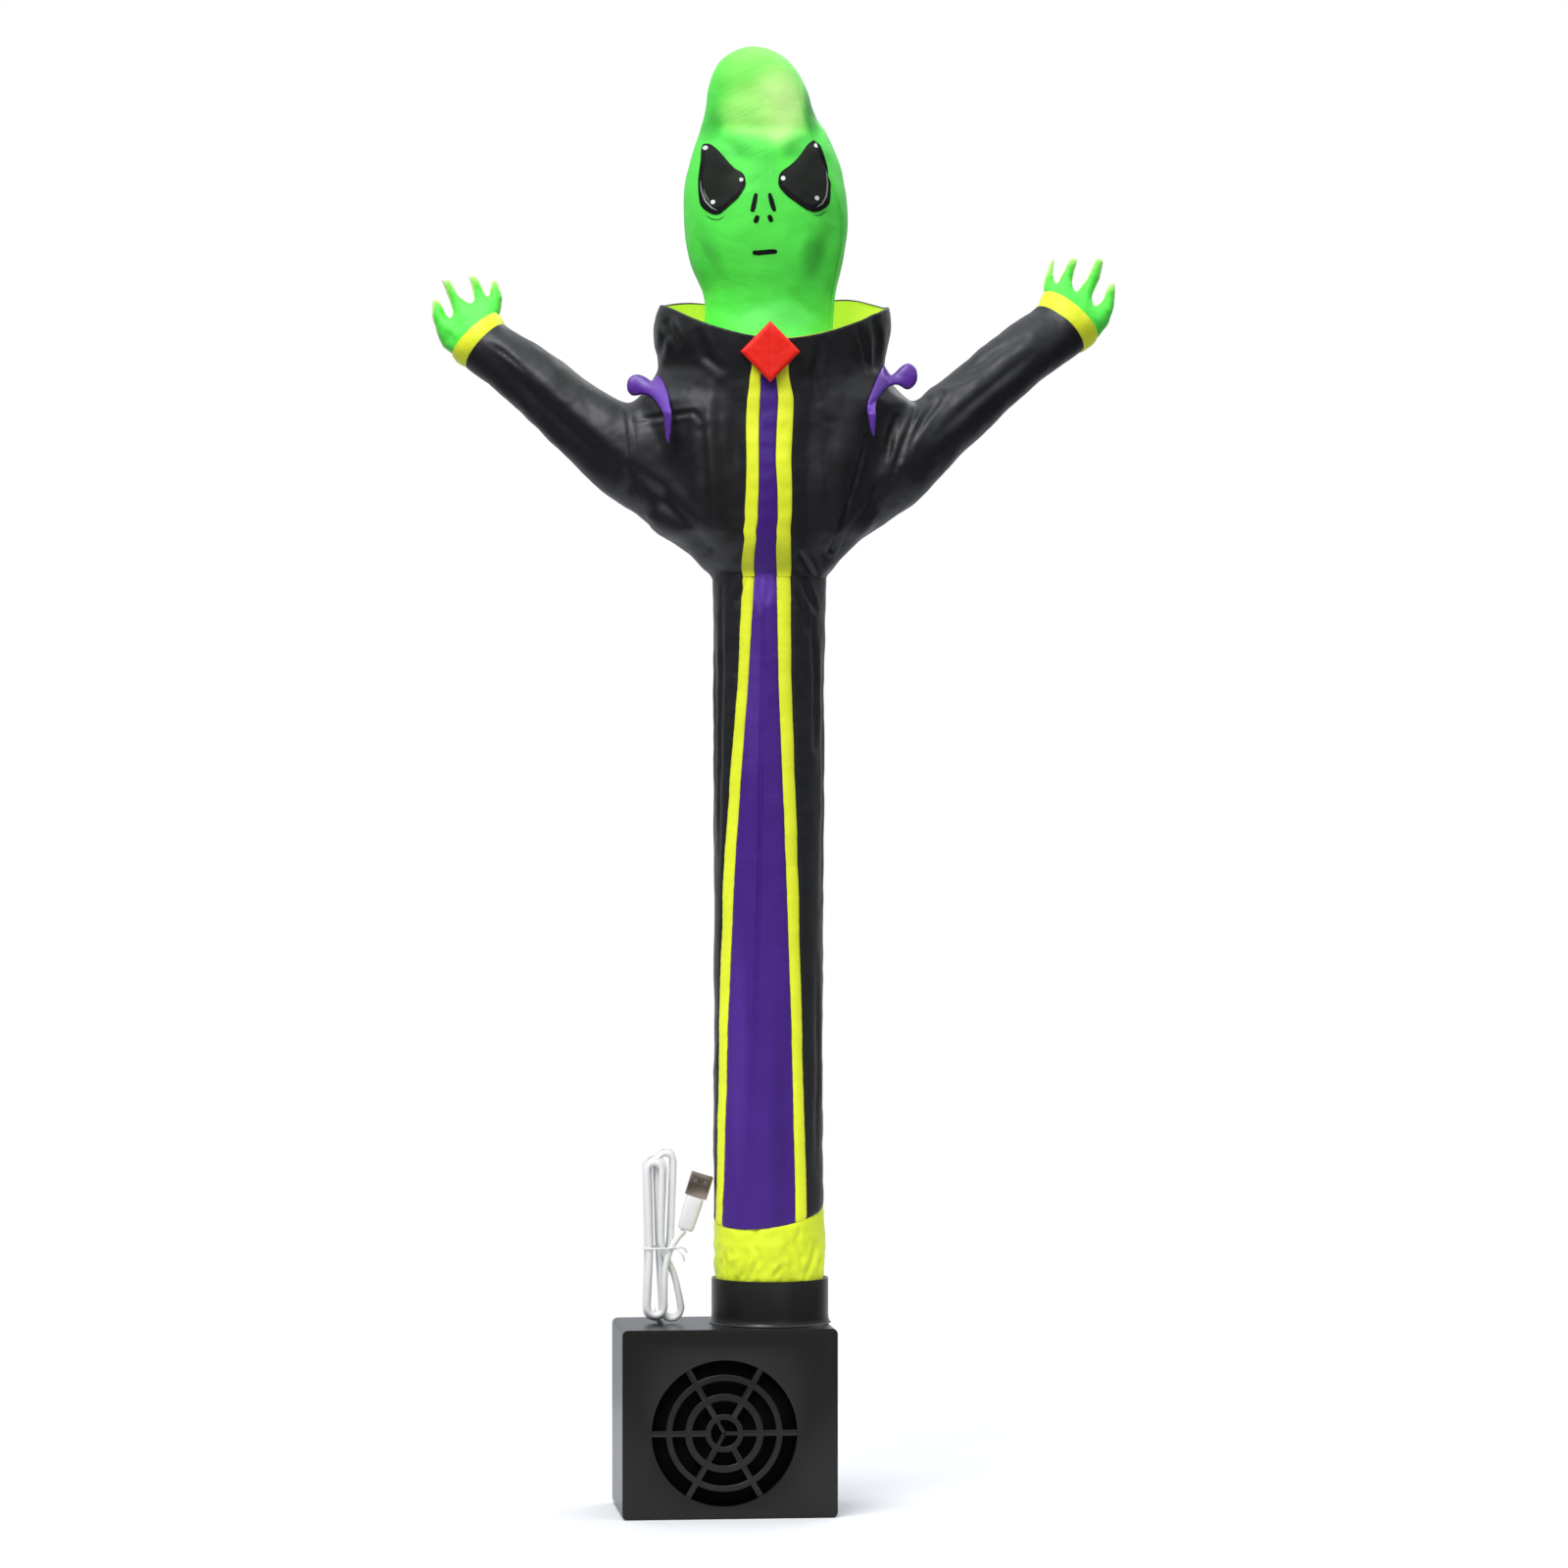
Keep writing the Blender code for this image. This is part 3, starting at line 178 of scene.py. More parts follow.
# Arms: x and height of the lower edge, x and height of the upper edge, front to back
# size, and how far the middle lies behind the figure's middle (mm).
ARMS = {
    "left": (
        (-56, 529, -56, 601, 52, 0),
        (-88.3, 551, -78, 602.1, 50, 1.5),
        (-109, 571.2, -91.4, 608.6, 43, 4.5),
        (-130.1, 590.8, -109.7, 621.8, 38, 9),
        (-149.5, 609.8, -127.4, 635, 34.5, 14.5),
        (-156.6, 616, -136, 640, 32.5, 17.5),
        (-164.2, 621.6, -142.9, 644.4, 31.5, 20),
        (-172.2, 627.6, -145.9, 651, 31.5, 22.5),
        (-176.6, 632.6, -145.3, 653.6, 29, 24.5),
        (-179.8, 638.4, -144.9, 656.4, 24, 26),
        (-181.7, 645, -145.2, 659.2, 16, 26.5),
    ),
    "right": (
        (54, 530, 56, 601, 52, 0),
        (81.5, 549.8, 79, 603.5, 50, 1.5),
        (108.1, 576.8, 88, 609.8, 43, 4.5),
        (134.3, 601.9, 103.8, 621.9, 38, 9),
        (157.9, 621.4, 126.8, 641.2, 35, 14.5),
        (166.4, 627.2, 138.5, 649.4, 33, 17.5),
        (174.6, 632.8, 150.2, 656.8, 32, 20),
        (183.9, 639.6, 154, 665.6, 32, 22.5),
        (188.4, 644.4, 154, 667.6, 29.5, 24.5),
        (191.4, 649.4, 154, 669.4, 24, 26),
        (192.9, 654, 154.3, 671, 16, 26.5),
    ),
}
# How far the front of an arm's ring leans toward the hand, by row number.
RING_LEAN = ((1, 0), (5, 4.6), (7.4, 4.6), (10, 0))
# Hands' outlines from the wrist's lower side round the claws to its upper side: x, height.
HANDS = {
    "left": (
        (-171.9, 629.4), (-176.4, 632.9), (-179.2, 637.8), (-181.3, 644.8), (-182.4, 650.4),
        (-182.4, 656.7), (-181.3, 660.5), (-179.2, 658.2), (-177.1, 655.4), (-175.4, 652.2),
        (-173.9, 650.1), (-172.8, 649.1), (-171.8, 650.1), (-171.2, 651.9), (-172.2, 655.4),
        (-173.9, 660.3), (-175.7, 665.2), (-177, 669.6), (-176.1, 670.4), (-172.6, 669.5),
        (-171.9, 668.1), (-170.1, 664.6), (-168, 661.4), (-165.9, 659.3), (-163.8, 657.8),
        (-161.7, 657), (-160.4, 658), (-159.9, 659.7), (-160.3, 663.3), (-161.3, 667.5),
        (-162.7, 671.6), (-161.3, 672.7), (-159.2, 672.1), (-158.1, 671), (-156, 667.5),
        (-154.6, 664), (-153.6, 661.9), (-152.5, 661.1), (-151.5, 661.6), (-151.1, 664.7),
        (-150.4, 668.3), (-149.5, 670.4), (-148.3, 670.7), (-146.9, 668.3), (-145.4, 664.1),
        (-144.4, 659.9), (-144.8, 655.6), (-145.4, 651.8),
    ),
    "right": (
        (185.1, 641.5), (189.4, 647.2), (191.6, 651.5), (193.4, 656.5), (194.3, 663.7),
        (194.3, 670.1), (194, 671.3), (192.7, 672.2), (191.2, 670.7), (189.1, 667.1),
        (187.3, 662.9), (185.1, 660), (184, 659.3), (182.9, 658.9), (182.1, 659.7),
        (181.5, 662.1), (182.2, 665.7), (184.7, 671.4), (186.6, 677.8), (187.3, 682.8),
        (186.6, 685.1), (184.8, 685.6), (183.3, 684.2), (181.5, 680.6), (180, 677.1),
        (177.9, 673.1), (174.1, 667.9), (172.5, 666.7), (171.1, 667.7), (170.4, 671.2),
        (171.1, 675.5), (172.5, 680.5), (173.2, 683.4), (172.5, 685), (170.6, 685.4),
        (168.9, 684.1), (167.1, 681.2), (165.3, 677.6), (163.5, 674.4), (162.3, 671.8),
        (161.3, 671.3), (160.5, 672.6), (159.9, 675.4), (160, 679), (160.7, 682.9),
        (160.1, 684.8), (158.9, 684.9), (157.7, 682.5), (156.3, 678.3), (154.9, 674),
        (154, 669.7), (154, 666.7),
    ),
}

# --- creases: half width and depth in mm, then points as angle and height --------
HEAD_CREASES = (
    (0.8, 0.9, ((66, 621), (64, 653.8), (62, 673), (62, 698.6), (54, 711.4),
                (48, 724.2), (43, 737), (47, 762.6), (60, 786.5))),
    (0.8, 0.7, ((-90, 622), (-90, 660), (-90, 700), (-90, 740),
                (-90, 780))),
    (0.7, 0.4, ((-2, 744), (-2.5, 722), (-5, 716))),
    (0.7, 0.5, ((180, 622), (180, 700), (180, 745), (180, 788))),
    (4.5, 1.3, ((-78, 757), (-55, 750.5), (-28, 747.5), (0, 746.5),
                (26, 747.5), (48, 750.5), (66, 756))),
    (4, 1.2, ((-56, 745), (-36, 740), (-20, 731))),
    (4, 1.2, ((44, 745), (26, 740), (14, 730))),
    (6, 1.8, ((50, 698), (42, 680), (36, 662))),
    (6, 1.4, ((-66, 698), (-58, 678), (-50, 662))),
    (3, 0.4, ((10, 660), (30, 650), (52, 646))),
    (3, 0.35, ((-60, 652), (-34, 646), (-12, 650))),
)
# Folds on the front of the robe and arms: half width and depth, then x and height.
FRONT_FOLDS = (
    (8, -2.6, ((-37, 588), (-36, 566), (-34.5, 526))),
    (6, 2.4, ((-23, 612), (-23.5, 566), (-22, 520))),
    (6, 2.2, ((18, 612), (18.5, 570), (17, 518))),
    (9, -1.8, ((41, 618), (42, 592), (40, 560))),
    (7, 1.8, ((62, 604), (56, 580), (47, 552))),
    (0.9, 0.9, ((-79.5, 599.6), (-78.4, 586.4), (-76.8, 565.3), (-73.1, 551.6), (-67.3, 533.7))),
    (3.4, 2.2, ((-75.9, 562.3), (-65.3, 551.3), (-50, 535.5), (-35.7, 521.4))),
    (2.6, 1.6, ((-40.6, 592.6), (-39, 573.6), (-37.5, 552.6), (-35.9, 523.2))),
    (1.2, 0.9, ((-74.1, 591), (-59.4, 592.6), (-44.6, 594.3), (-40.4, 589.6))),
    (1.1, 1.8, ((48.6, 581.7), (42.7, 559.5), (36.9, 541), (31, 521.4))),
    (2.6, 1.3, ((28.2, 588.8), (27.1, 571.4), (28.2, 551.9), (26, 537.1))),
    (2.4, 1.3, ((60.5, 557.7), (52.5, 545.5), (40.8, 529.6), (30.1, 515.3))),
    (2.4, 1, ((-30.8, 607.8), (-31.8, 578.8), (-28.1, 542.1))),
    (1.3, 1.4, ((13.8, 518.3), (18, 511.9), (22.2, 504.6))),
    (1, 1, ((-26.3, 505.5), (-23.2, 500.3), (-18.4, 498.2))),
    (1.6, 1.2, ((37.1, 542.6), (35, 529.4), (28.6, 518.3))),
    (1.3, 1.7, ((79.9, 601.9), (75.6, 591.2), (70.3, 579.5), (63.9, 560.9))),
    (1.2, 1.3, ((66.9, 593.5), (63.7, 582.3), (61, 570.6))),
    (1.6, 1.3, ((93.3, 606.8), (83.7, 595), (75.1, 582.1), (69.7, 570.4))),
    (2.4, 1.3, ((91.7, 609.4), (109.5, 619.7), (125.7, 631.6), (139.7, 639.7))),
    (2.2, 0.9, ((89.3, 583.9), (107.1, 600.5), (126, 615.7), (143.3, 629.2))),
    (4, 1.8, ((-78.3, 555.5), (-99.5, 576.1), (-120.8, 596.1), (-139.3, 614.6),
                (-149.9, 626.1))),
    (1, 0.6, ((-152, 632.7), (-144.1, 627.4), (-133.4, 617.9))),
    (1.8, 1.3, ((-61, 646.2), (-57.3, 639.9), (-53.1, 631.5))),
    (1.5, 1.1, ((-56.3, 648.3), (-59.5, 634.1), (-62.6, 619.9))),
    (2, 1.2, ((-42.2, 636.3), (-38, 624.8), (-29.6, 617.5))),
    (2, 1.3, ((53.4, 647.1), (56.6, 635), (55.5, 620.8))),
    (1.5, 1, ((43.8, 642.5), (48.1, 631), (50.2, 618.3))),
    (1.8, 0.9, ((23.4, 631.6), (20.2, 615.8), (22.3, 600))),
)
# Folds on their backs.
BACK_FOLDS = (
    (0.9, 0.9, ((-79, 600), (-78, 580), (-74, 556), (-66, 534))),
    (0.9, 0.9, ((80, 602), (79, 581), (74, 558), (64, 535))),
    (3.2, 2, ((-72, 560), (-52, 538), (-34, 516))),
    (3, 1.9, ((74, 564), (52, 540), (33, 515))),
    (2, 1.3, ((-44, 588), (-33, 552), (-21, 514))),
    (2, 1.3, ((40, 590), (30, 552), (20, 514))),
    (1.4, 1, ((-10, 545), (-12, 525), (-9, 510))),
    (1.4, 1, ((12, 540), (10, 524), (12, 510))),
    (1.2, 1.1, ((-84, 596), (-90, 580), (-90, 566))),
    (1.2, 1.1, ((86, 598), (92, 582), (91, 568))),
    (2, 1.1, ((-96, 602), (-118, 616), (-138, 630))),
    (2, 1.1, ((98, 606), (118, 618), (140, 634))),
    (2, 1.1, ((-52, 646), (-46, 632), (-50, 616))),
    (2, 1.1, ((50, 648), (47, 634), (52, 616))),
    (1, 0.6, ((0, 508), (0, 560), (0, 612))),
)
SKIRT_CREASES = (
    (1.1, 1.3, ((-9, 500), (-9.8, 490), (-13, 430), (-14.5, 384),
                (-15, 342), (-22.5, 224), (-28.5, 158))),
    (1.8, 1.7, ((30, 505), (38, 496), (50, 489))),
    (1.4, 1.4, ((22, 499), (30, 489), (36, 478))),
    (1.4, 1.2, ((-30, 505), (-37, 498), (-42, 492))),
    (1, 0.9, ((-10, 506), (-6, 500), (-7, 492))),
    (1, 0.8, ((-15, 506), (-17, 499), (-15, 488))),
    (2, 1.2, ((44, 482), (52, 450), (50, 415))),
    (1.6, 1, ((-62, 500), (-66, 440), (-70, 360))),
    (1, 0.5, ((180, 170), (180, 300), (180, 505))),
    (2.4, 0.8, ((70, 470), (74, 400), (68, 330))),
    (2.4, 0.8, ((-84, 480), (-80, 420), (-86, 360))),
    (2.2, 0.7, ((56, 300), (60, 250), (56, 190))),
    (2.6, 0.9, ((130, 440), (136, 340), (130, 240))),
    (2.6, 0.9, ((225, 460), (220, 350), (226, 220))),
)
HEM_CREASES = (
    (1.6, 1.1, ((-20, 158), (-22, 146), (-15, 136))),
    (1.4, 1, ((8, 152), (18, 144), (20, 132))),
    (1.6, 1.1, ((30, 156), (24, 148), (30, 138))),
    (1.2, 1.5, ((-28, 128), (-24, 133), (-18, 138))),
    (1.1, 1.5, ((-40, 127.5), (-34, 131), (-32, 136))),
    (1, 1.4, ((-2, 128), (2, 132), (9, 135))),
    (1.5, 1.7, ((34, 128), (42, 136), (52, 146))),
    (1, 1.2, ((54, 128), (56, 134), (64, 139))),
    (1.1, 1.3, ((-62, 128), (-58, 135), (-60, 142))),
    (1, 0.8, ((100, 128), (104, 135), (98, 143))),
    (1, 0.8, ((160, 128), (156, 136), (160, 144))),
    (1, 0.8, ((230, 128), (236, 136), (232, 144))),
)

# Painted light and shade on the cloths, as soft ovals: x, height, their radii, colour, strength.
PAINTED_LIGHT = {
    # painted highlights on the dome and neck; painted shade at the dome's edges, the brow and the
    # cheeks
    "green": (
        (-8, 780, 34, 30, (0.24, 0.74, 0.1), 0.7),
        (3, 761, 22, 28, (0.6, 1, 0.3), 0.95),
        (-15, 757, 20, 19, (0.42, 0.95, 0.2), 0.8),
        (21.5, 761, 7.5, 27, (0.02, 0.3, 0.02), 0.9),
        (-34, 750, 9, 14, (0.03, 0.4, 0.03), 0.8),
        (-22, 738, 16, 11, (0.05, 0.5, 0.05), 0.7),
        (13, 738, 14, 11, (0.05, 0.5, 0.05), 0.7),
        (-7, 724, 11, 26, (0.06, 0.58, 0.06), 0.5),
        (21.6, 678, 11, 18, (0.04, 0.46, 0.04), 0.6),
        (-35, 675, 9, 17, (0.05, 0.52, 0.05), 0.5),
        (41, 702, 8, 30, (0.05, 0.58, 0.055), 0.5),
        (0, 640, 40, 18, (0.17, 0.9, 0.17), 0.8),
    ),
    # painted shade on the yellow just above the waist
    "yellow": ((-8, 515, 36, 11, (0.4, 0.42, 0.02), 0.6),),
    # painted highlights at the waist and down the middle; painted shade down the purple panel's
    # sides
    "purple": (
        (-8, 499, 14, 12, (0.13, 0.05, 0.4), 0.85),
        (-12, 440, 8, 60, (0.085, 0.026, 0.28), 0.6),
        (-34, 230, 9, 110, (0.03, 0.006, 0.12), 0.7),
        (2, 200, 7, 90, (0.035, 0.007, 0.14), 0.6),
        (-20, 250, 6, 90, (0.09, 0.03, 0.29), 0.5),
    ),
}

# --- printed face: x and height (mm) ---------------------------------------------
EYES = {
    "left": (
        (-37.1, 740.1), (-34.4, 740.3), (-32, 738.4), (-29.3, 735.2), (-26.5, 731.3),
        (-24.3, 728.3), (-22, 725.7), (-19.1, 724), (-17.4, 722.1), (-16.8, 719.7),
        (-16.7, 716.6), (-18.1, 713.6), (-20.4, 710), (-23.4, 707.1), (-27.3, 703.6),
        (-30.8, 701.4), (-34.3, 702), (-37.4, 704.4), (-39.5, 707.8), (-40.2, 714),
        (-40.4, 720.3), (-39.9, 725.2), (-38.9, 730.6), (-38.2, 736.4),
    ),
    "right": (
        (22.2, 742.5), (24.4, 739.8), (25.9, 736.1), (27.8, 731.3), (29.2, 725.7),
        (29.8, 720.2), (29.9, 714), (29.2, 708.4), (26, 704.8), (20.8, 702.7),
        (15.8, 704), (10.4, 707.4), (6.1, 710.3), (2.4, 713.9), (0.9, 716.4),
        (0.8, 718.8), (1.3, 721.9), (3.1, 724.4), (6.9, 727.2), (10.8, 730.7),
        (14, 734.6), (16.7, 738.5), (19.5, 741.3),
    ),
}
GLINTS = (
    (-35.9, 738, 1.25), (-18.8, 719.5, 1.1), (-33.2, 708.1, 1.15),
    (22.1, 739.1, 1.25), (3.3, 720.2, 1.25), (21.7, 710.2, 1.25),
)
# Strokes: x, height and width at each point.
EYE_ARCS = (
    ((-38.9, 720.7, 0.2), (-38.6, 715.3, 0.7), (-36.9, 709.3, 0.9), (-34, 705.3, 0.8),
     (-31, 703.2, 0.2)),
    ((-37.6, 716, 0.15), (-36.4, 711.6, 0.5), (-34.6, 708.4, 0.2)),
    ((27.1, 726.3, 0.2), (27.8, 718.3, 0.8), (27, 711.8, 0.9), (24.5, 707.4, 0.9),
     (21.2, 705.1, 0.2)),
)
DARK_STROKES = (
    ((-11.1, 712.3, 1.8), (-11.8, 708.6, 2.5), (-12.6, 704.8, 2.6), (-13.4, 701.9, 2.2)),
    ((-4.2, 712.3, 1.8), (-3.2, 708.6, 2.6), (-2.2, 704.8, 2.6), (-1.1, 702.2, 2)),
    ((-10.3, 700.2, 2), (-10.9, 698.3, 2.7), (-11.8, 696, 2.2)),
    ((-4.4, 700.4, 2), (-3.7, 698.7, 2.7), (-2.8, 696.6, 2.2)),
    ((-13.2, 680.3, 2.3), (-9.6, 680.2, 2.6), (-6.5, 680.5, 2.5), (-3.4, 680.8, 2.6),
     (0.4, 681, 2.2)),
)
SOFT_STROKES = (
    ((-37.4, 701.6, 0.2), (-34, 698.9, 0.6), (-30.4, 698.4, 0.5), (-27.6, 700.2, 0.2)),
    ((20, 700.8, 0.2), (24.4, 701.4, 0.6), (28, 704.2, 0.2)),
)

# --- brooch ------------------------------------------------------------------------
BROOCH_TUBE = (
    (600, -64, 66, 46.2, 44),
    (650, -64, 66, 46.2, 44),
)
BROOCH_CENTRE = (-4.8, 626.4)
BROOCH_HALF_ANGLE = 14.4
BROOCH_HALF_HEIGHT = 16.5
BROOCH_PUFF = 1.3
BROOCH_SIDE = 2.4        # how deep the diamond's side is

# Purple shoulder pieces' outlines: x, height.
SHOULDER_PIECES = {
    "left": (
        (-68.8, 614.5), (-66.4, 612.8), (-65, 612.8), (-63.6, 614.6), (-62.2, 615.6),
        (-61.1, 615.3), (-59.4, 611.8), (-57.6, 606.3), (-57, 601.5), (-56.9, 597),
        (-56.5, 592.2), (-56.9, 587.4), (-57.5, 581.8), (-58.6, 576.9), (-60, 580.6),
        (-60.3, 584.5), (-60.7, 590.1), (-61.7, 594.9), (-63.4, 598.5), (-65.1, 601.5),
        (-67.4, 603.9), (-70.9, 605), (-72.9, 604.6), (-76.2, 604.7), (-78.4, 607),
        (-78.9, 610.5), (-77.9, 613.7), (-75.3, 615.7), (-72, 615.9),
    ),
    "right": (
        (60.7, 622.8), (62.1, 620.7), (63.8, 618.2), (65.2, 616.8), (67.4, 618.3), (70.2, 621.1),
        (73, 622.9), (75.8, 622.9), (78.3, 620.8), (79.3, 617.7), (79.2, 614.2), (77.8, 611.3),
        (75.1, 609.2), (72.4, 609.2), (68.6, 611.2), (64.9, 610.8), (61.6, 608.7), (58.2, 605.6),
        (55.5, 601.7), (53.8, 596.4), (53.5, 590.8), (53.1, 585.2), (52.4, 581.1), (51.7, 581.8),
        (50.3, 586.6), (49.3, 592.3), (48.9, 596.3), (50, 601.7), (52.7, 607.9), (55.3, 613.3),
        (57.4, 617.5), (59.9, 621),
    ),
}

# --- blower ------------------------------------------------------------------------
HOUSING_LEFT, HOUSING_RIGHT, HOUSING_TOP = -83.4, 32.8, 101.7
FRONT_Y, COVER_THICK = -39, 3.0
GRILLE_X, GRILLE_Z, GRILLE_RADIUS = -28.4, 46, 39.3
GRILLE_RINGS = ((31.5, 28.1), (21.2, 17.4), (10.3, 7.2))
GRILLE_THICK = 2.2
SPOKE_WIDTH, THIN_SPOKE_WIDTH = 3.2, 2.0
# The nozzle's wall section: radius and height.
NOZZLE_SECTION = (
    (27.5, 102), (33.3, 102), (32.85, 102.4), (32.4, 103.1), (32.05, 104.1),
    (31.85, 105.4), (31.75, 107), (31.75, 125.9), (31.6, 126.3), (31.2, 126.4), (30.3, 126.4),
    (30, 126.2), (29.95, 125.8), (29.95, 114), (27.5, 114),
)

# --- lead: route's points (x, y, z), as in the CAD ----------------------------------
LEAD_RADIUS = 1.75
TIE_RADIUS = 0.55
LEAD_ROUTE = (
    (-58.0, 45.6, 86.6), (-58.0, 45.6, 93.0), (-58.0, 44.8, 99.0),
    (-58.1, 41.8, 103.9), (-58.3, 36.8, 106.1), (-58.5, 31.0, 105.6),
    (-58.6, 25.0, 104.3), (-58.6, 18.0, 104.2), (-58.4, 11.5, 105.2),
)
HANK_FOOT = (-58.0, 102.1)
HANK_TILT = math.radians(2.5)
USB_TILT = math.radians(15.0)
USB_TAIL = (9.4, 50.4)
USB_GRIP = (9.6, 6.8, 18.5)
USB_SHELL = (12.0, 4.5, 13.0)
USB_GAP = 0.3
TIE_AT = 40.5
# Each turn of the hank: the middle and half width at the foot, the tie and the top, how
# far in front it lies, and how low and high its folds reach.
HANK_TURNS = (
    (-4.9, 4.9, -7.2, 3.2, -9.2, 4.2, -3.5, 2.0, 90.5),
    (4.4, 5.4, -1.4, 3.0, -3.4, 4.6, -3.5, 2.6, 94.0),
    (-4.4, 4.7, -6.2, 2.8, -7.6, 4.2, 0.0, 3.4, 88.5),
    (3.9, 5.3, -0.8, 2.8, -2.8, 4.4, 0.0, 2.0, 92.0),
    (-4.9, 4.7, -6.8, 2.8, -9.0, 4.2, 3.5, 3.6, 87.0),
)
# The tail's points and the tie's two ends: across, up (the ends' from the tie), forward.
HANK_TAIL = ((-0.5, 15.0, 3.5), (-0.9, 25.0, 3.6), (-0.4, 33.5, 3.6), (1.9, 41.0, 3.2),
             (5.6, 46.8, 1.6), (8.9, 50.2, 0.2))
TIE_ENDS = (
    ((5.6, 0.0, 3.0), (7.2, 1.2, 4.6), (9.0, 0.6, 5.2), (10.8, -1.6, 5.0)),
    ((5.6, 0.0, 3.2), (7.0, -1.4, 5.0), (8.6, -3.6, 5.4), (9.4, -6.4, 5.0)),
)

# --- cloths and plastics: a cloth's shine, unevenness and glow; colours ------------------
CLOTH_LOOKS = {
    "black": {"roughness": 0.46, "darker": 0.7, "shine": 0.42},
    "green": {"roughness": 0.55, "darker": 0.86, "glow": 0.15},
    "yellow": {"glow": 0.1},
}
PAINTED_LIGHT_DEPTH = 62.0        # the painted light and shade ovals' radius from front to back (mm)
BLOWER_BLACK = (0.008, 0.0086, 0.0066)
LEAD_WHITE = (0.8, 0.8, 0.79)
PLUG_METAL = (0.33, 0.27, 0.22)
SHOULDER_PURPLE = (0.13, 0.03, 0.4)
# a brighter, paler copy of the stripes' yellow: painted light on the collar's inside
LINING_PAINTED_LIGHT_YELLOW = (0.9, 0.97, 0.09)
HEM_YELLOW = (0.78, 0.92, 0.026)
FLOOR_GREY = (0.68, 0.68, 0.68)


# === settings ==========================================================================

def number(name, text, default, low, high, **more):
    """A number among the settings."""
    return bpy.props.FloatProperty(name=name, description=text, default=default, min=low,
                                   max=high, **more)


def colour(name, text, default):
    """A colour among the settings."""
    return bpy.props.FloatVectorProperty(name=name, description=text, default=default, size=3,
                                         min=0.0, max=1.0, subtype="COLOR")


class DancerClothSettings(bpy.types.PropertyGroup):
    """How the cloth lies and shines."""
    crease_depth: number("Crease depth", "Depth of the creases as a share of the table's",
                         1.0, 0.0, 2.0)
    pucker: number("Seam pucker", "Height of the puckers beside the seams, in millimetres",
                   0.07, 0.0, 1.0)
    ripple: number("Ripple", "Height of the cloth's soft unevenness, in millimetres",
                   0.45, 0.0, 2.0)
    spacing: number("Mesh spacing", "Distance between the cloth's points, in millimetres",
                    1.3, 0.5, 5.0)
    sheen: number("Sheen", "Strength of the satin cloth's sheen", 0.04, 0.0, 1.0,
                  subtype="FACTOR")


class DancerColourSettings(bpy.types.PropertyGroup):
    """Colours of the cloth."""
    green: colour("Green", "Skin cloth", (0.095, 0.82, 0.075))
    black: colour("Black", "Robe cloth", (0.0075, 0.0078, 0.0088))
    purple: colour("Purple", "Front panel cloth", (0.055, 0.011, 0.21))
    yellow: colour("Yellow", "Stripe, cuff and lining cloth", (0.86, 0.95, 0.03))
    red: colour("Red", "Brooch cloth", (0.88, 0.014, 0.005))


class DancerStageSettings(bpy.types.PropertyGroup):
    """Camera and light."""
    distance: number("Camera distance", "From the figure's middle", 3.0, 1.0, 20.0,
                     unit="LENGTH")
    height: number("Camera height", "Above the floor", 0.3946, 0.0, 5.0, unit="LENGTH")
    azimuth: number("Camera azimuth", "Turn round the figure, to the viewer's right",
                    math.radians(-6.0), -math.pi, math.pi, unit="ROTATION")
    width: number("View width", "Width of the view at the figure", 0.8533, 0.1, 10.0,
                  unit="LENGTH")
    light: number("Light", "Strength of the studio lights", 1.0, 0.0, 10.0)


# === tables and tubes ===================================================================

def fine_rows(rows, spacing):
    """A table's rows on a smooth curve through them, about a spacing apart."""
    points = np.array(rows, float)
    ends = np.vstack([2 * points[0] - points[1], points, 2 * points[-1] - points[-2]])
    fine = []
    for k in range(1, len(ends) - 2):
        before, start, end, after = ends[k - 1:k + 3]
        reach = np.abs(end - start).max()
        parts = max(1, int(math.ceil(reach / spacing)))
        gap_before, gap, gap_after = (max(np.linalg.norm(two - one), TINY) for one, two
                                      in ((before, start), (start, end), (end, after)))
        lead = ((end - start) / gap * gap_before + (start - before) / gap_before * gap) \
            / (gap + gap_before) * gap
        trail = ((after - end) / gap_after * gap + (end - start) / gap * gap_after) \
            / (gap + gap_after) * gap
        for part in range(parts):
            t = part / parts
            fine.append((2 * t ** 3 - 3 * t ** 2 + 1) * start + (t ** 3 - 2 * t ** 2 + t) * lead
                        + (3 * t ** 2 - 2 * t ** 3) * end + (t ** 3 - t ** 2) * trail)
    fine.append(points[-1])
    return np.array(fine)


def column(fine, number, at):
    """One column of a fine table at the given first-column values."""
    return np.interp(at, fine[:, 0], fine[:, number])


def tube_points(fine, angle, height):
    """Points of a cloth tube for arrays of angles in degrees and heights."""
    left, right, front, back = (column(fine, n, height) for n in (1, 2, 3, 4))
    turn = np.radians(angle)
    x = (left + right) / 2 + (right - left) / 2 * np.sin(turn)
    y = (back - front) / 2 - (back + front) / 2 * np.cos(turn)
    return np.stack([x, y, np.broadcast_to(height, x.shape)], axis=-1)


def arm_fine(side):
    """An arm's table with a row number in front, on a smooth curve."""
    return fine_rows([(n, *row) for n, row in enumerate(ARMS[side])], 1.0)


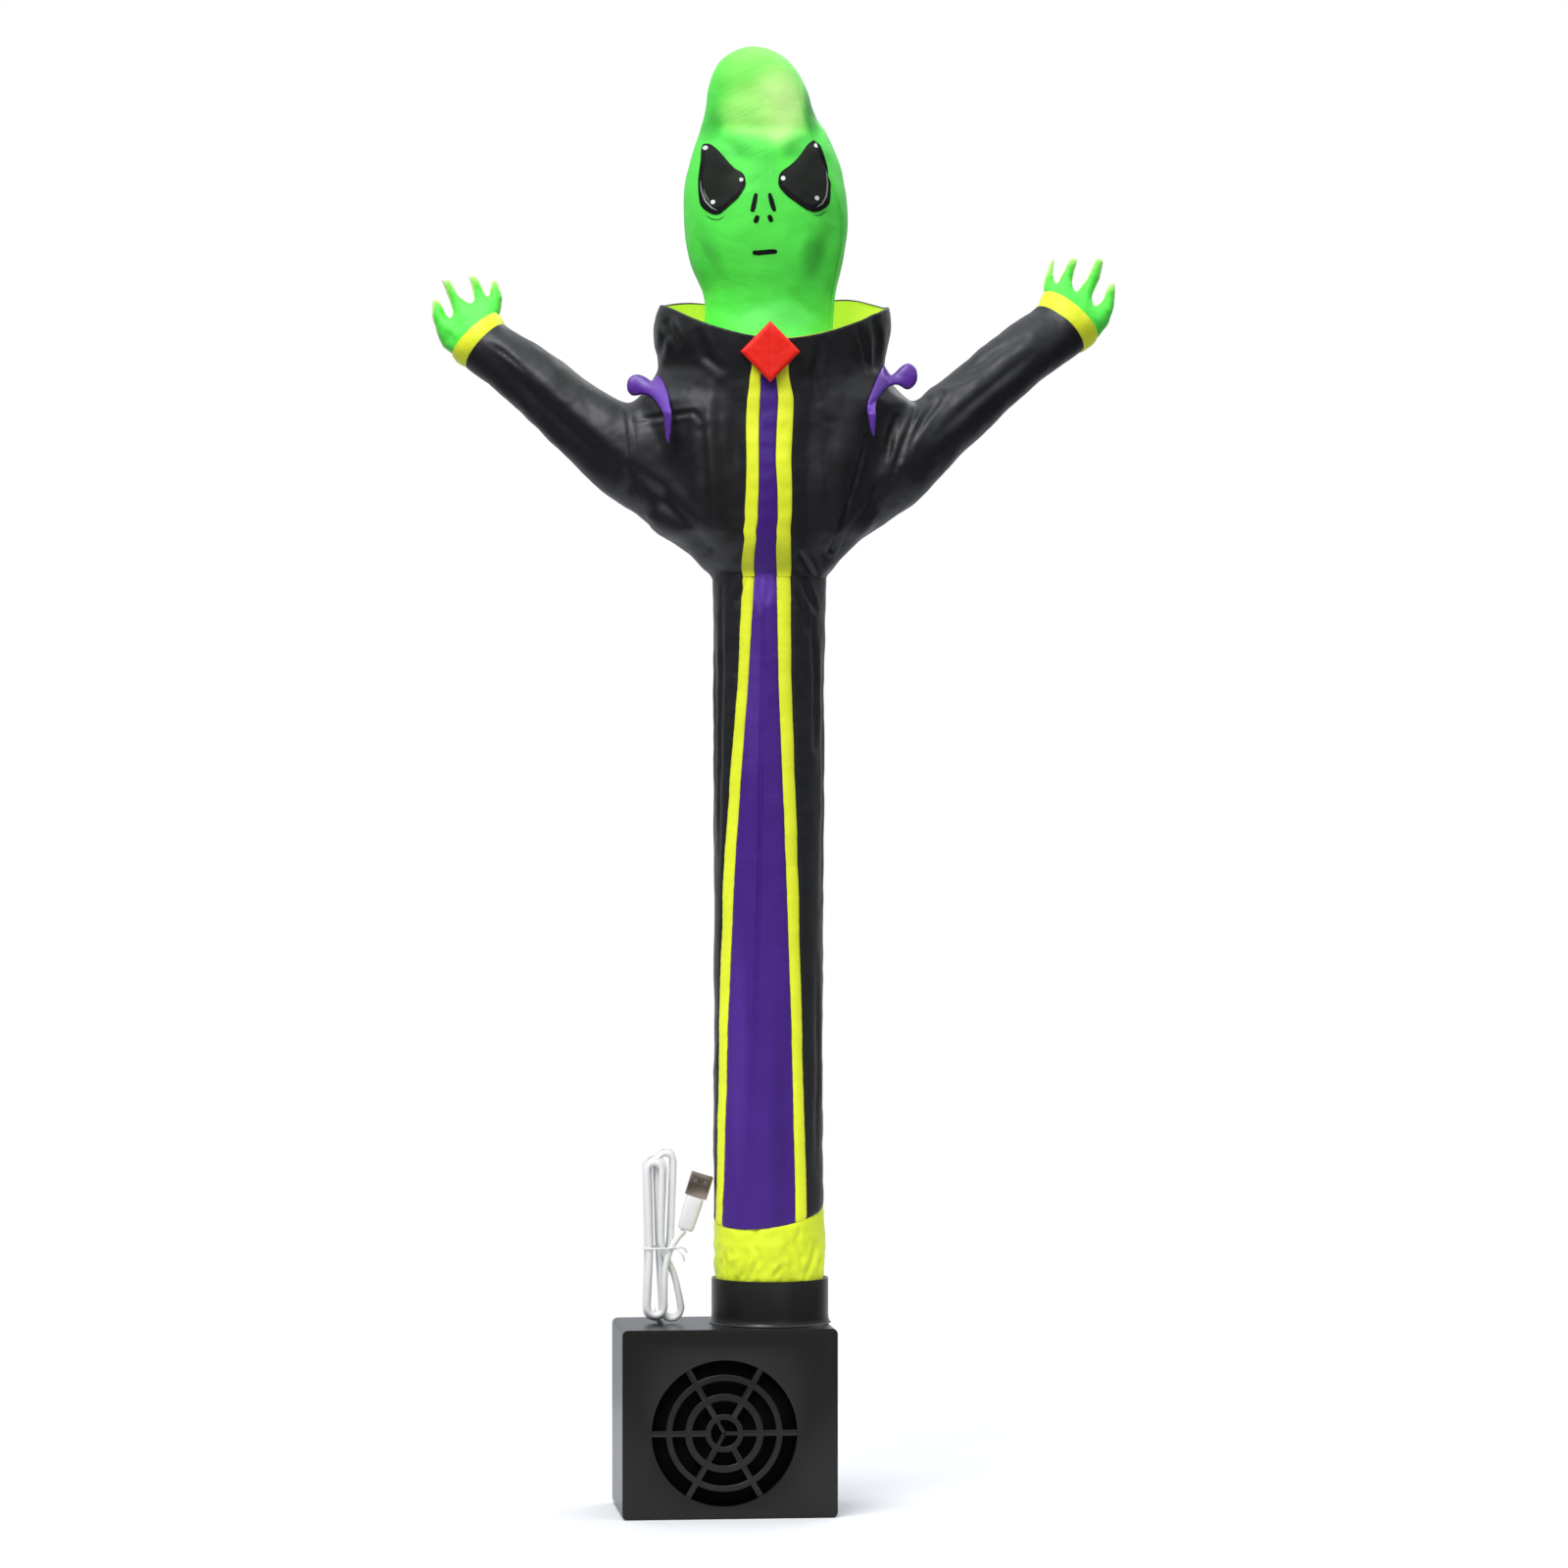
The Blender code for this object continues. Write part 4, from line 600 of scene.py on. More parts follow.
def arm_points(side, angle, row):
    """Points of an arm for arrays of angles, 0 on its top, and row numbers."""
    fine = arm_fine(side)
    low_x, low_z, up_x, up_z, depth, behind = (column(fine, n, row) for n in range(1, 7))
    turn = np.radians(angle)
    sign = 1.0 if side == "left" else -1.0
    along_x, along_z = (sum(column(fine, n, row + 0.5) - column(fine, n, row - 0.5)
                            for n in pair) for pair in ((1, 3), (2, 4)))
    long = np.hypot(along_x, along_z)
    lean = sign * np.interp(row, *np.array(RING_LEAN).T) * np.sin(turn)
    x = (low_x + up_x) / 2 + (up_x - low_x) / 2 * np.cos(turn) - along_x / long * lean
    z = (low_z + up_z) / 2 + (up_z - low_z) / 2 * np.cos(turn) - along_z / long * lean
    y = behind + sign * depth / 2 * np.sin(turn)
    return np.stack([x, y, z], axis=-1)


def normals(points, whole_ring):
    """Outward unit normals of a grid of points."""
    if whole_ring:
        across = np.roll(points, -1, axis=1) - np.roll(points, 1, axis=1)
    else:
        across = np.gradient(points, axis=1)
    along = np.gradient(points, axis=0)
    normal = np.cross(across, along)
    normal /= np.maximum(np.linalg.norm(normal, axis=-1, keepdims=True), 1e-9)
    middle = points.mean(axis=1, keepdims=True)
    sign = np.sign(np.sum(normal * (points - middle), axis=-1).mean())
    return normal * (sign if sign else 1.0)


# === reliefs ============================================================================

def line_distance(points, line):
    """Distance of each point from a line of points, and how far along it that is."""
    best = np.full(points.shape[:-1], 1e9)
    along = np.zeros(points.shape[:-1])
    run = 0.0
    for start, end in zip(line, line[1:]):
        step = end - start
        length = max(np.linalg.norm(step), 1e-9)
        share = np.clip(np.sum((points - start) * step, axis=-1) / length ** 2, 0, 1)
        away = np.linalg.norm(points - start - share[..., None] * step, axis=-1)
        nearer = away < best
        best = np.where(nearer, away, best)
        along = np.where(nearer, run + share * length, along)
        run += length
    return best, along, run


def groove(points, line, half_width, margin, lips):
    """A groove along a line that fades at its ends and has raised lips.

    margin: share of the line at each end where the fading stops.
    lips: their height as a share of the depth, and their place and width in half widths.
    """
    away, along, run = line_distance(points, line)
    fade = np.sin(np.clip(along / max(run, TINY), margin, 1 - margin) * math.pi) ** 0.6
    high, place, wide = lips
    raised = high * np.exp(-((away - place * half_width) / (wide * half_width)) ** 2)
    return fade * (np.exp(-(away / half_width) ** 2) - raised)


def crease_relief(fine, points, creases, depth_share):
    """Grooves along lines on a tube that are given as angle and height."""
    relief = np.zeros(points.shape[:-1])
    for half_width, depth, marks in creases:
        at = np.linspace(0, len(marks) - 1, 6 * len(marks))
        angles, heights = (np.interp(at, range(len(marks)), values) for values in zip(*marks))
        line = tube_points(fine, angles, heights)
        relief -= depth * depth_share * groove(points, line, half_width, 0.04,
                                               (0.35, 2.3, 1.2))
    return relief


def fold_relief(points, normal, depth_share):
    """Folds of the robe and arms, pressed in from the front and from behind."""
    relief = np.zeros(len(points))
    for folds, facing in ((FRONT_FOLDS, -normal[:, 1]), (BACK_FOLDS, normal[:, 1])):
        seen = np.clip((facing + 0.1) / 0.5, 0, 1)
        for half_width, depth, marks in folds:
            relief -= depth * depth_share * seen * groove(
                points[:, ::2], np.array(marks, float), half_width, 0.05, (0.45, 2.2, 1.1))
    return relief


def ripple_relief(points, height, size, seed):
    """Soft unevenness with a few sharper creases, for features of a size in mm."""
    shape = points.shape[:-1]
    flat = points.reshape(-1, 3) / size
    shift = Vector((seed * 7.31, seed * 3.17, seed * 5.73))
    values = [noise.noise(Vector(p) + shift) + 0.5 * noise.noise(Vector(p) * 2.1 - shift)
              - 0.9 * max(0.0, 0.22 - abs(noise.noise(Vector(p) * 0.8 + 2 * shift)))
              for p in flat]
    return height * np.array(values).reshape(shape)


def seam_relief(points, edge_line, seed):
    """The groove of a sewn seam at a panel's edge and the puckers that run off it."""
    cloth = bpy.context.scene.dancer_cloth
    away, along, _ = line_distance(points, edge_line)
    phase = 1.3 * np.sin(along / 9.0 + seed) + 0.9 * np.sin(along / 4.1 + 2 * seed)
    pucker = np.sin(along * 2 * math.pi / 5.2 + phase)
    return -0.55 * np.exp(-(away / 0.9) ** 2) + cloth.pucker * pucker * np.exp(-away / 3.2)


def closed_line(line):
    """A line with its first point again at its end."""
    return np.vstack([line, line[:1]])


# === meshes =============================================================================

def grid_mesh(name, points, whole_ring):
    """A mesh from a grid of points in mm, with texture coordinates in mm along the cloth."""
    rows, columns = points.shape[:2]
    around = np.concatenate([points, points[:, :1]], axis=1) if whole_ring else points
    steps = np.linalg.norm(np.diff(around, axis=1), axis=-1)
    rise = np.linalg.norm(np.diff(points, axis=0), axis=-1).mean(axis=1)
    u = np.concatenate([np.zeros((rows, 1)), np.cumsum(steps, axis=1)], axis=1)
    v = np.concatenate([[0.0], np.cumsum(rise)])
    places = np.stack([u, np.broadcast_to(v[:, None], u.shape)], axis=-1)
    numbers = np.arange(rows * columns).reshape(rows, columns)
    numbers = np.concatenate([numbers, numbers[:, :1]], axis=1) if whole_ring else numbers
    quads, coordinates = (np.stack([a[:-1, :-1], a[:-1, 1:], a[1:, 1:], a[1:, :-1]], axis=2)
                          for a in (numbers, places))
    mesh = bpy.data.meshes.new(name)
    mesh.from_pydata((points.reshape(-1, 3) * MM).tolist(), [], quads.reshape(-1, 4).tolist())
    layer = mesh.uv_layers.new(name="cloth_mm")
    layer.data.foreach_set("uv", coordinates.astype(np.float32).ravel())
    mesh.update()
    return mesh


def linked(name, data):
    """A new object in the scene."""
    item = bpy.data.objects.new(name, data)
    bpy.context.scene.collection.objects.link(item)
    return item


def place_mesh(name, mesh, material, replaced=(), sharp=None):
    """Show a mesh as a piece that rides on the part's one body.

    sharp: angle in degrees from which its edges stay sharp.
    """
    piece = linked(name, mesh)
    mesh.materials.append(material)
    mesh.shade_smooth()
    if sharp:
        mesh.set_sharp_from_angle(angle=math.radians(sharp))
    if replaced:
        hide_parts(*replaced)
    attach(piece, BODY)
    return piece


def place_grid(name, points, whole_ring, turn, colour_name, replaced=(), material=None):
    """Show a grid of points as a piece of one of the cloths, its faces turned by turn."""
    mesh = grid_mesh(name, points, whole_ring)
    turn(mesh)
    return place_mesh(name, mesh, material or shared_cloth(colour_name),
                      replaced)


def read_values(items, key, width, kind=float):
    """One attribute of a mesh's items, a row for each."""
    values = np.zeros(len(items) * width, kind)
    items.foreach_get(key, values)
    return values.reshape(-1, width)


def move_points(mesh, points):
    """Put a mesh's points at places in mm."""
    mesh.vertices.foreach_set("co", (points * MM).ravel())
    mesh.update()


def flip_where(mesh, score):
    """Flip a mesh's faces where their score, weighed by area, is below zero in all."""
    mesh.update()
    if sum(score(polygon) * polygon.area for polygon in mesh.polygons) < 0:
        mesh.flip_normals()


def face_forward(mesh):
    """Turn an open piece's faces to the front."""
    flip_where(mesh, lambda polygon: -polygon.normal.y)


def face_from_axis(mesh):
    """Turn an open panel's faces away from the figure's middle line."""
    flip_where(mesh, lambda polygon: polygon.normal.xy @ polygon.center.xy)


def face_to_axis(mesh):
    """Turn a lining's faces to the figure's middle line."""
    face_from_axis(mesh)
    mesh.flip_normals()


@contextmanager
def edited(mesh):
    """A mesh as a bmesh, which is written back at the end."""
    form = bmesh.new()
    form.from_mesh(mesh)
    yield form
    form.to_mesh(mesh)
    form.free()


def face_outward(mesh):
    """Turn a closed mesh's faces outward."""
    with edited(mesh) as form:
        bmesh.ops.recalc_face_normals(form, faces=form.faces[:])


def applied_modifiers(piece):
    """Bake a piece's modifiers into its mesh."""
    evaluated = piece.evaluated_get(bpy.context.evaluated_depsgraph_get())
    mesh = bpy.data.meshes.new_from_object(evaluated)
    piece.modifiers.clear()
    piece.data = mesh
    return piece


def run_along(steps):
    """How far along a line its points lie, from the steps between them."""
    return np.concatenate([[0.0], np.cumsum(steps)])


def tube_panel(rows, low, high, edges, creases, seed, bulge=0.0, ends_sewn=(False, False),
               sunk=0.0):
    """One sewn panel of a cloth tube, as a grid of points in mm.

    low, high: heights, or functions of an array of angles.
    edges: function of an array of heights that gives the left and right angles, or
        None for a panel that goes all the way round.
    bulge: how far the panel's middle puffs out between its side seams.
    """
    cloth = bpy.context.scene.dancer_cloth
    fine = fine_rows(rows, FINE_STEP)
    low_at, high_at = (end if callable(end) else lambda angle, end=end: np.full(
        angle.shape, float(end)) for end in (low, high))
    low_mid, high_mid = low_at(np.zeros(1))[0], high_at(np.zeros(1))[0]
    inside = fine[(fine[:, 0] > low_mid) & (fine[:, 0] < high_mid)]
    ends = [[at, *[column(fine, n, at) for n in (1, 2, 3, 4)]] for at in (low_mid, high_mid)]
    path = np.vstack([ends[0], inside, ends[1]])
    run = run_along(np.abs(np.diff(path, axis=0))[:, :3].max(axis=1))
    count = max(3, int(run[-1] / cloth.spacing))
    levels = np.interp(np.linspace(0, run[-1], count), run, path[:, 0])
    share = (levels - low_mid) / (high_mid - low_mid)
    left, right = edges(levels) if edges else (np.zeros(count), np.full(count, 360.0))
    radius = (column(fine, 2, levels) - column(fine, 1, levels)) / 2
    columns = max(4, int(np.max(np.radians(right - left) * radius) / cloth.spacing))
    u = np.linspace(0, 1, columns + 1)[None, :]
    if edges is None:
        u = u[:, :-1]
    angle = left[:, None] + (right - left)[:, None] * u
    bottom, top = low_at(angle), high_at(angle)
    points = tube_points(fine, angle, bottom + (top - bottom) * share[:, None])
    relief = crease_relief(fine, points, creases, cloth.crease_depth)
    relief += ripple_relief(points, cloth.ripple, RIPPLE_SIZE, seed)
    if edges is not None:
        relief += seam_relief(points, points[:, 0], seed)
        relief += seam_relief(points, points[:, -1], seed + 1.7)
        relief += bulge * np.sin(np.pi * u) ** 0.5
    for sewn, row in zip(ends_sewn, (0, -1)):
        if sewn:
            line = points[row] if edges is not None else closed_line(points[row])
            relief += seam_relief(points, line, seed + 3.1)
    return points + normals(points, edges is None) * (relief - sunk)[..., None]


# === materials ==========================================================================

class Shading:
    """A node tree that is being built."""

    def __init__(self, tree, end):
        self.nodes, self.links = tree.nodes, tree.links
        self.end = tree.nodes[end]

    def feed(self, inputs, node=None):
        """Give inputs their values or link other nodes' outputs to them."""
        node = node or self.end
        for key, value in inputs.items():
            if isinstance(value, bpy.types.NodeSocket):
                self.links.new(value, node.inputs[key])
            else:
                node.inputs[key].default_value = value

    def add(self, kind, output, inputs, **choices):
        """A new node's output, its choices made and its inputs fed."""
        node = self.nodes.new(f"ShaderNode{kind}")
        for key, value in choices.items():
            setattr(node, key, value)
        self.feed(inputs, node)
        return node.outputs[output]

    def coordinates(self, kind="Object"):
        """Texture coordinates of a kind."""
        return self.add("TexCoord", kind, {})

    def ramp(self, value, stops):
        """A colour that follows a value through stops, each a position and a colour."""
        shade = self.add("ValToRGB", "Color", {"Fac": value})
        elements = shade.node.color_ramp.elements
        for n, (position, tone) in enumerate(stops):
            element = elements[n] if n < 2 else elements.new(position)
            element.position, element.color = position, (*tone, 1.0)
        return shade

    def bump(self, height, strength, distance, **under):
        """The normal of a bump, laid over another normal if one is given."""
        return self.add("Bump", "Normal", {"Strength": strength, "Distance": distance,
                                           "Height": height, **under})

    def drift(self, colour, darker, scale, place):
        """A colour that drifts softly to a darker one."""
        blotch = self.add("TexNoise", "Fac", {"Scale": scale, "Detail": 3.0, "Vector": place})
        return self.ramp(blotch, ((0.3, [c * darker for c in colour]), (0.7, colour)))

    def gloss(self, value, low, high):
        """Roughness that follows a value from low to high."""
        self.feed({"Roughness": self.add("MapRange", "Result", {
            "To Min": low, "To Max": high, "Value": value})})


def new_material(name, colour, roughness, inputs):
    """A Principled material with its inputs' values, and its shading."""
    material = bpy.data.materials.new(name)
    material.use_nodes = True
    material.diffuse_color = (*colour, 1.0)
    shading = Shading(material.node_tree, "Principled BSDF")
    shading.feed({"Base Color": (*colour, 1.0), "Roughness": roughness, **inputs})
    return material, shading


def cloth_material(name, colour, roughness=0.48, darker=0.88, shine=0.3, glow=0.0,
                   light_ovals=()):
    """Thin satin polyester: plain weave, slight sheen, light that comes through."""
    cloth = bpy.context.scene.dancer_cloth
    material, shading = new_material(name, colour, roughness, {
        "Sheen Weight": cloth.sheen, "Sheen Roughness": 0.4, "Specular IOR Level": shine})
    place = shading.coordinates()
    if glow > 0.0:
        shading.feed({"Subsurface Weight": glow, "Subsurface Radius": (0.4, 1.0, 0.35),
                      "Subsurface Scale": 0.012})
    shade = shading.drift(colour, darker, 22.0, place)
    # painted light and shade are laid into the colour where ovals are given
    shading.feed({"Base Color": with_painted_light(shading, shade, place, light_ovals)})
    add_weave(shading, place.node.outputs["UV"])
    return material


def with_painted_light(shading, shade, place, light_ovals):
    """A colour with soft ovals of painted light and painted shade laid over it, as seen from the
    front.
    """
    for x, height, wide, high, tone, strength in light_ovals:
        away = shading.add("VectorMath", "Vector", {
            0: place, 1: (1 / (wide * MM), 1 / (PAINTED_LIGHT_DEPTH * MM), 1 / (high * MM)),
            2: (-x / wide, 0.5, -height / high)}, operation="MULTIPLY_ADD")
        far = shading.add("VectorMath", "Value", {0: away}, operation="LENGTH")
        share = shading.add("MapRange", "Result", {
            "From Min": 1.0, "From Max": 0.3, "To Max": strength, "Value": far},
            interpolation_type="SMOOTHSTEP")
        shade = shading.add("Mix", 2, {0: share, 6: shade, 7: (*tone, 1.0)},
                            data_type="RGBA")
    return shade


def add_weave(shading, place):
    """A plain weave's threads and its fine creasing, as bump, in mm along the cloth."""
    threads = [shading.add("TexWave", "Fac", {
        "Scale": 0.9, "Distortion": 0.6, "Detail": 1.0, "Vector": place},
        bands_direction=direction) for direction in "XY"]
    weave = shading.add("Math", "Value", dict(enumerate(threads)), operation="MULTIPLY")
    crumple = shading.add("TexNoise", "Fac", {
        "Scale": 0.16, "Detail": 4.0, "Distortion": 0.8, "Vector": place})
    fine = shading.bump(weave, 0.25, 0.0001)
    shading.feed({"Normal": shading.bump(crumple, 0.35, 0.0008, Normal=fine)})


def plastic_material(name, colour, roughness, grain_scale, grain_depth, shine=0.32):
    """Moulded plastic with a fine grain and a little uneven gloss."""
    material, shading = new_material(name, colour, roughness, {"Specular IOR Level": shine})
    place = shading.coordinates()
    grain = shading.add("TexNoise", "Fac", {"Scale": grain_scale, "Detail": 2.0,
                                            "Vector": place})
    shading.gloss(grain, roughness * 0.85, roughness * 1.2)
    shading.feed({"Base Color": shading.drift(colour, 0.85, 18.0, place),
                  "Normal": shading.bump(grain, 0.3, grain_depth)})
    return material


def metal_material(name, colour, roughness):
    """Plated sheet steel with fine drawing lines."""
    material, shading = new_material(name, colour, roughness, {"Metallic": 1.0})
    stretch = shading.add("Mapping", "Vector", {"Scale": (1.0, 1.0, 0.06),
                                                "Vector": shading.coordinates()})
    lines = shading.add("TexNoise", "Fac", {"Scale": 900.0, "Vector": stretch})
    shading.gloss(lines, roughness * 0.7, roughness * 1.3)
    return material


def print_material(name, colour, roughness):
    """Ink printed on the cloth, a little uneven."""
    material, shading = new_material(name, colour, roughness, {"Specular IOR Level": 0.15})
    shading.feed({"Base Color": shading.drift(colour, 0.6, 60.0, shading.coordinates())})
    return material


def shared_cloth(colour_name):
    """The one material of each cloth colour."""
    name = f"{colour_name}_cloth"
    known = bpy.data.materials.get(name)
    if known and known.get("dancer"):
        return known
    if known:
        known.name = f"{name}_cad"
    colours = bpy.context.scene.dancer_colours
    material = cloth_material(name, tuple(getattr(colours, colour_name)),
                              light_ovals=PAINTED_LIGHT.get(colour_name, ()),
                              **CLOTH_LOOKS.get(colour_name, {}))
    material["dancer"] = True
    return material


# === pieces: head and face ==============================================================

def build_head():
    """The head's four gores, sewn together."""
    points = tube_panel(HEAD, HEAD[0][0], HEAD[-1][0], None, HEAD_CREASES, 1.0)
    closing = points[-1] + (points[-1].mean(axis=0) - points[-1]) * 0.96
    points = np.concatenate([points, closing[None]], axis=0)
    place_grid("head", points, True, face_outward, "green",
               ("head_front_left", "head_front_right", "head_back_left", "head_back_right"))


def on_face(x, height, lift):
    """Points on the head's front for arrays of x and height, lifted a little."""
    cloth = bpy.context.scene.dancer_cloth
    fine = fine_rows(HEAD, FINE_STEP)
    left, right = column(fine, 1, height), column(fine, 2, height)
    share = np.clip((x - (left + right) / 2) / ((right - left) / 2), -0.999, 0.999)
    angle = np.degrees(np.arcsin(share))
    points = tube_points(fine, angle, height)
    relief = crease_relief(fine, points, HEAD_CREASES, cloth.crease_depth)
    relief += ripple_relief(points, cloth.ripple, RIPPLE_SIZE, 1.0)
    turn = tube_points(fine, angle + 0.5, height) - tube_points(fine, angle - 0.5, height)
    rise = tube_points(fine, angle, height + 0.5) - tube_points(fine, angle, height - 0.5)
    normal = np.cross(turn, rise)
    normal /= np.linalg.norm(normal, axis=-1, keepdims=True)
    return points + normal * (relief + lift)[..., None]


def on_curve(before, start, end, after, parts):
    """Places from start up to end on a smooth curve through four."""
    for part in range(parts):
        t = part / parts
        yield 0.5 * (2 * start + (end - before) * t
                     + (2 * before - 5 * start + 4 * end - after) * t * t
                     + (3 * start - before - 3 * end + after) * t ** 3)


def smooth_outline(points, parts):
    """A closed outline on a smooth curve through its points."""
    ring = np.array(points, float)
    rolled = (np.roll(ring, -n, axis=0) for n in (-1, 0, 1, 2))
    return np.array([place for four in zip(*rolled) for place in on_curve(*four, parts)])


def smooth_line(points, parts):
    """A line on a smooth curve through its points."""
    route = [Vector(point) for point in points]
    padded = [2 * route[0] - route[1]] + route + [2 * route[-1] - route[-2]]
    fours = zip(padded, padded[1:], padded[2:], padded[3:])
    return [place for four in fours for place in on_curve(*four, parts)] + [route[-1]]


def print_shape(name, outline, lift, material):
    """A printed patch: rings from the outline in to its middle, laid on the face."""
    middle = outline.mean(axis=0)
    grid = np.stack([middle + (outline - middle) * share
                     for share in np.linspace(1.0, 0.02, 22)])
    place_grid(name, on_face(grid[..., 0], grid[..., 1], lift), True, face_forward, "green",
               material=material)


def print_stroke(name, stroke, lift, material):
    """A printed brush stroke with its own width at each point."""
    at = np.linspace(0, len(stroke) - 1, 8 * len(stroke))
    kernel = np.array([1, 2, 3, 2, 1]) / 9.0
    line = np.stack([np.convolve(np.pad(np.interp(at, range(len(stroke)), values), 2,
                                        mode="edge"), kernel, mode="valid")
                     for values in zip(*stroke)], axis=1)
    direction = np.gradient(line[:, :2], axis=0)
    direction /= np.maximum(np.linalg.norm(direction, axis=1, keepdims=True), 1e-9)
    side = np.stack([-direction[:, 1], direction[:, 0]], axis=1)
    ends = np.sqrt(np.clip(1 - ((at / at[-1]) * 2 - 1) ** 10, 0.02, 1))
    grid = np.stack([line[:, :2] + side * line[:, 2:] / 2 * share * ends[:, None]
                     for share in np.linspace(-1, 1, 5)])
    place_grid(name, on_face(grid[..., 0], grid[..., 1], lift), False, face_forward, "green",
               material=material)


def build_face():
    """The printed eyes with their glints, the nose, nostrils and mouth."""
    black = print_material("print_black", (0.006, 0.006, 0.006), 0.45)
    grey = print_material("print_iris", (0.018, 0.02, 0.016), 0.45)
    white = print_material("print_white", (0.85, 0.87, 0.85), 0.5)
    pale = print_material("print_pale", (0.28, 0.33, 0.29), 0.5)
    soft = print_material("print_shadow", (0.02, 0.12, 0.02), 0.5)
    for side, outline in EYES.items():
        ring = smooth_outline(outline, 5)
        print_shape(f"eye_{side}", ring, 0.4, black)
        middle = ring.mean(axis=0)
        shift = (0.7 if side == "left" else -0.7, 0.6)
        print_shape(f"eye_{side}_inner", middle + (ring - middle) * 0.84 + shift, 0.55, grey)
    turn = np.linspace(0, math.tau, 24, endpoint=False)
    for n, (x, height, radius) in enumerate(GLINTS):
        ring = np.stack([x + radius * np.cos(turn), height + radius * np.sin(turn)], axis=1)
        print_shape(f"glint_{n}", ring, 0.75, white)
    for name, strokes, lift, ink in (("eye_arc", EYE_ARCS, 0.9, pale),
                                     ("face_stroke", DARK_STROKES, 0.2, black),
                                     ("eye_shadow", SOFT_STROKES, 0.12, soft)):
        for n, stroke in enumerate(strokes):
            print_stroke(f"{name}_{n}", stroke, lift, ink)


# === pieces: robe, arms, hands ==========================================================

def stripe_angles(number):
    """One seam of the front stripes as a function of height, with its corners eased."""
    table = np.array(STRIPE_SEAMS)
    return lambda height: sum(np.interp(height + step, table[:, 0], table[:, number + 1])
                              for step in (-4.0, -2.0, 0.0, 2.0, 4.0)) / 5


def between_seams(left, right):
    """Edges of a panel between two seams."""
    return lambda height: (stripe_angles(left)(height), stripe_angles(right)(height))


def torso_forms():
    """Closed tubes of the robe with its collar and of both arms, as one bmesh."""
    form = bmesh.new()
    angle = np.linspace(0, 360, 128, endpoint=False)[None, :]
    rows = [(496.0, *ROBE[0][1:]), *ROBE, *COLLAR, (672.0, *COLLAR[-1][1:])]
    fine = fine_rows(rows, 2 * FINE_STEP)
    capped_grid(form, tube_points(fine, angle + 0 * fine[:, :1], fine[:, :1] + 0 * angle))
    angle = angle[:, ::2]
    row = np.linspace(0.0, 6.6, 90)[:, None] + 0 * angle
    for side in ARMS:
        capped_grid(form, arm_points(side, angle, row))
    bmesh.ops.recalc_face_normals(form, faces=form.faces[:])
    return form


def capped_grid(form, rings):
    """Add rings of points to a form as a closed body."""
    loops = [[form.verts.new(point * MM) for point in ring] for ring in rings]
    count = len(loops[0])
    for low, high in zip(loops, loops[1:]):
        for j in range(count):
            k = (j + 1) % count
            form.faces.new((low[j], low[k], high[k], high[j]))
    form.faces.new(loops[0])
    form.faces.new(loops[-1])


def union_mesh(form, name, voxel):
    """Overlapping closed forms as one skin with even faces."""
    mesh = bpy.data.meshes.new(name)
    form.to_mesh(mesh)
    form.free()
    holder = linked(name, mesh)
    remesh = holder.modifiers.new("remesh", "REMESH")
    remesh.mode, remesh.voxel_size = "VOXEL", voxel * MM
    skin = applied_modifiers(holder).data
    bpy.data.objects.remove(holder, do_unlink=True)
    return skin


def relaxed(points, edges, weight, rounds):
    """Points drawn toward the mean of their neighbours by a weight of their own."""
    one, two = edges.T
    count = np.bincount(edges.ravel(), minlength=len(points))[:, None]
    for _ in range(rounds):
        total = np.stack([np.bincount(one, values[two], len(points))
                          + np.bincount(two, values[one], len(points))
                          for values in points.T], axis=1)
        points = points + weight[:, None] * (total / count - points)
    return points


def collar_angle(x, y):
    """The angle from the front of a place at the collar, in degrees."""
    return np.degrees(np.arctan2((x - 1.2) / 64.0, -(y + 0.8) / 44.0))


def open_ends(form):
    """Cut the skin open at the waist, the cuffs and the collar's upper edge."""
    def cut(faces, place, normal, **cleared):
        part = [*faces, *{e for f in faces for e in f.edges}, *{v for f in faces for v in f.verts}]
        bmesh.ops.bisect_plane(form, geom=part, plane_co=place, plane_no=normal, **cleared)

    def rim_height(vert):
        return float(collar_top(collar_angle(vert.co.x / MM, vert.co.y / MM))) * MM

    cut(form.faces[:], (0, 0, 506.3 * MM), (0, 0, 1), clear_inner=True)
    for side in ARMS:
        sign = -1.0 if side == "left" else 1.0
        ring = arm_points(side, np.array([0.0, 180.0, 90.0]), np.full(3, 5.97))
        across = Vector(np.cross(ring[1] - ring[0], ring[2] - ring[0]))
        across *= math.copysign(1.0, across.x) * sign
        faces = [f for f in form.faces if f.calc_center_median().x * sign > 100 * MM]
        cut(faces, ring[0] * MM, across, clear_outer=True)
    rims = {vert: rim_height(vert) for vert in form.verts}
    high = [f for f in form.faces if f.calc_center_median().z > 625 * MM
            and abs(f.calc_center_median().x) < COLLAR_REACH * MM]
    for vert, rim in rims.items():
        vert.co.z -= rim
    cut(high, (0, 0, 0), (0, 0, 1), clear_outer=True)
    for vert in form.verts:
        vert.co.z += rims.get(vert) or rim_height(vert)


def turn_rim(form):
    """Turn the collar's cut edge in over itself."""
    edges = [e for e in form.edges if e.is_boundary and e.verts[0].co.z > 628 * MM
             and abs(e.verts[0].co.x) < COLLAR_REACH * MM]
    for step, rise in ((0.3, 0.3), (0.55, 0.05), (0.35, -0.5)):
        made = bmesh.ops.extrude_edge_only(form, edges=edges)["geom"]
        edges = [g for g in made if isinstance(g, bmesh.types.BMEdge) and g.is_boundary]
        for vert in {v for e in edges for v in e.verts}:
            inward = Vector((-vert.co.x, -vert.co.y * 1.4, 0)).normalized()
            vert.co += inward * step * MM + Vector((0, 0, rise * MM))


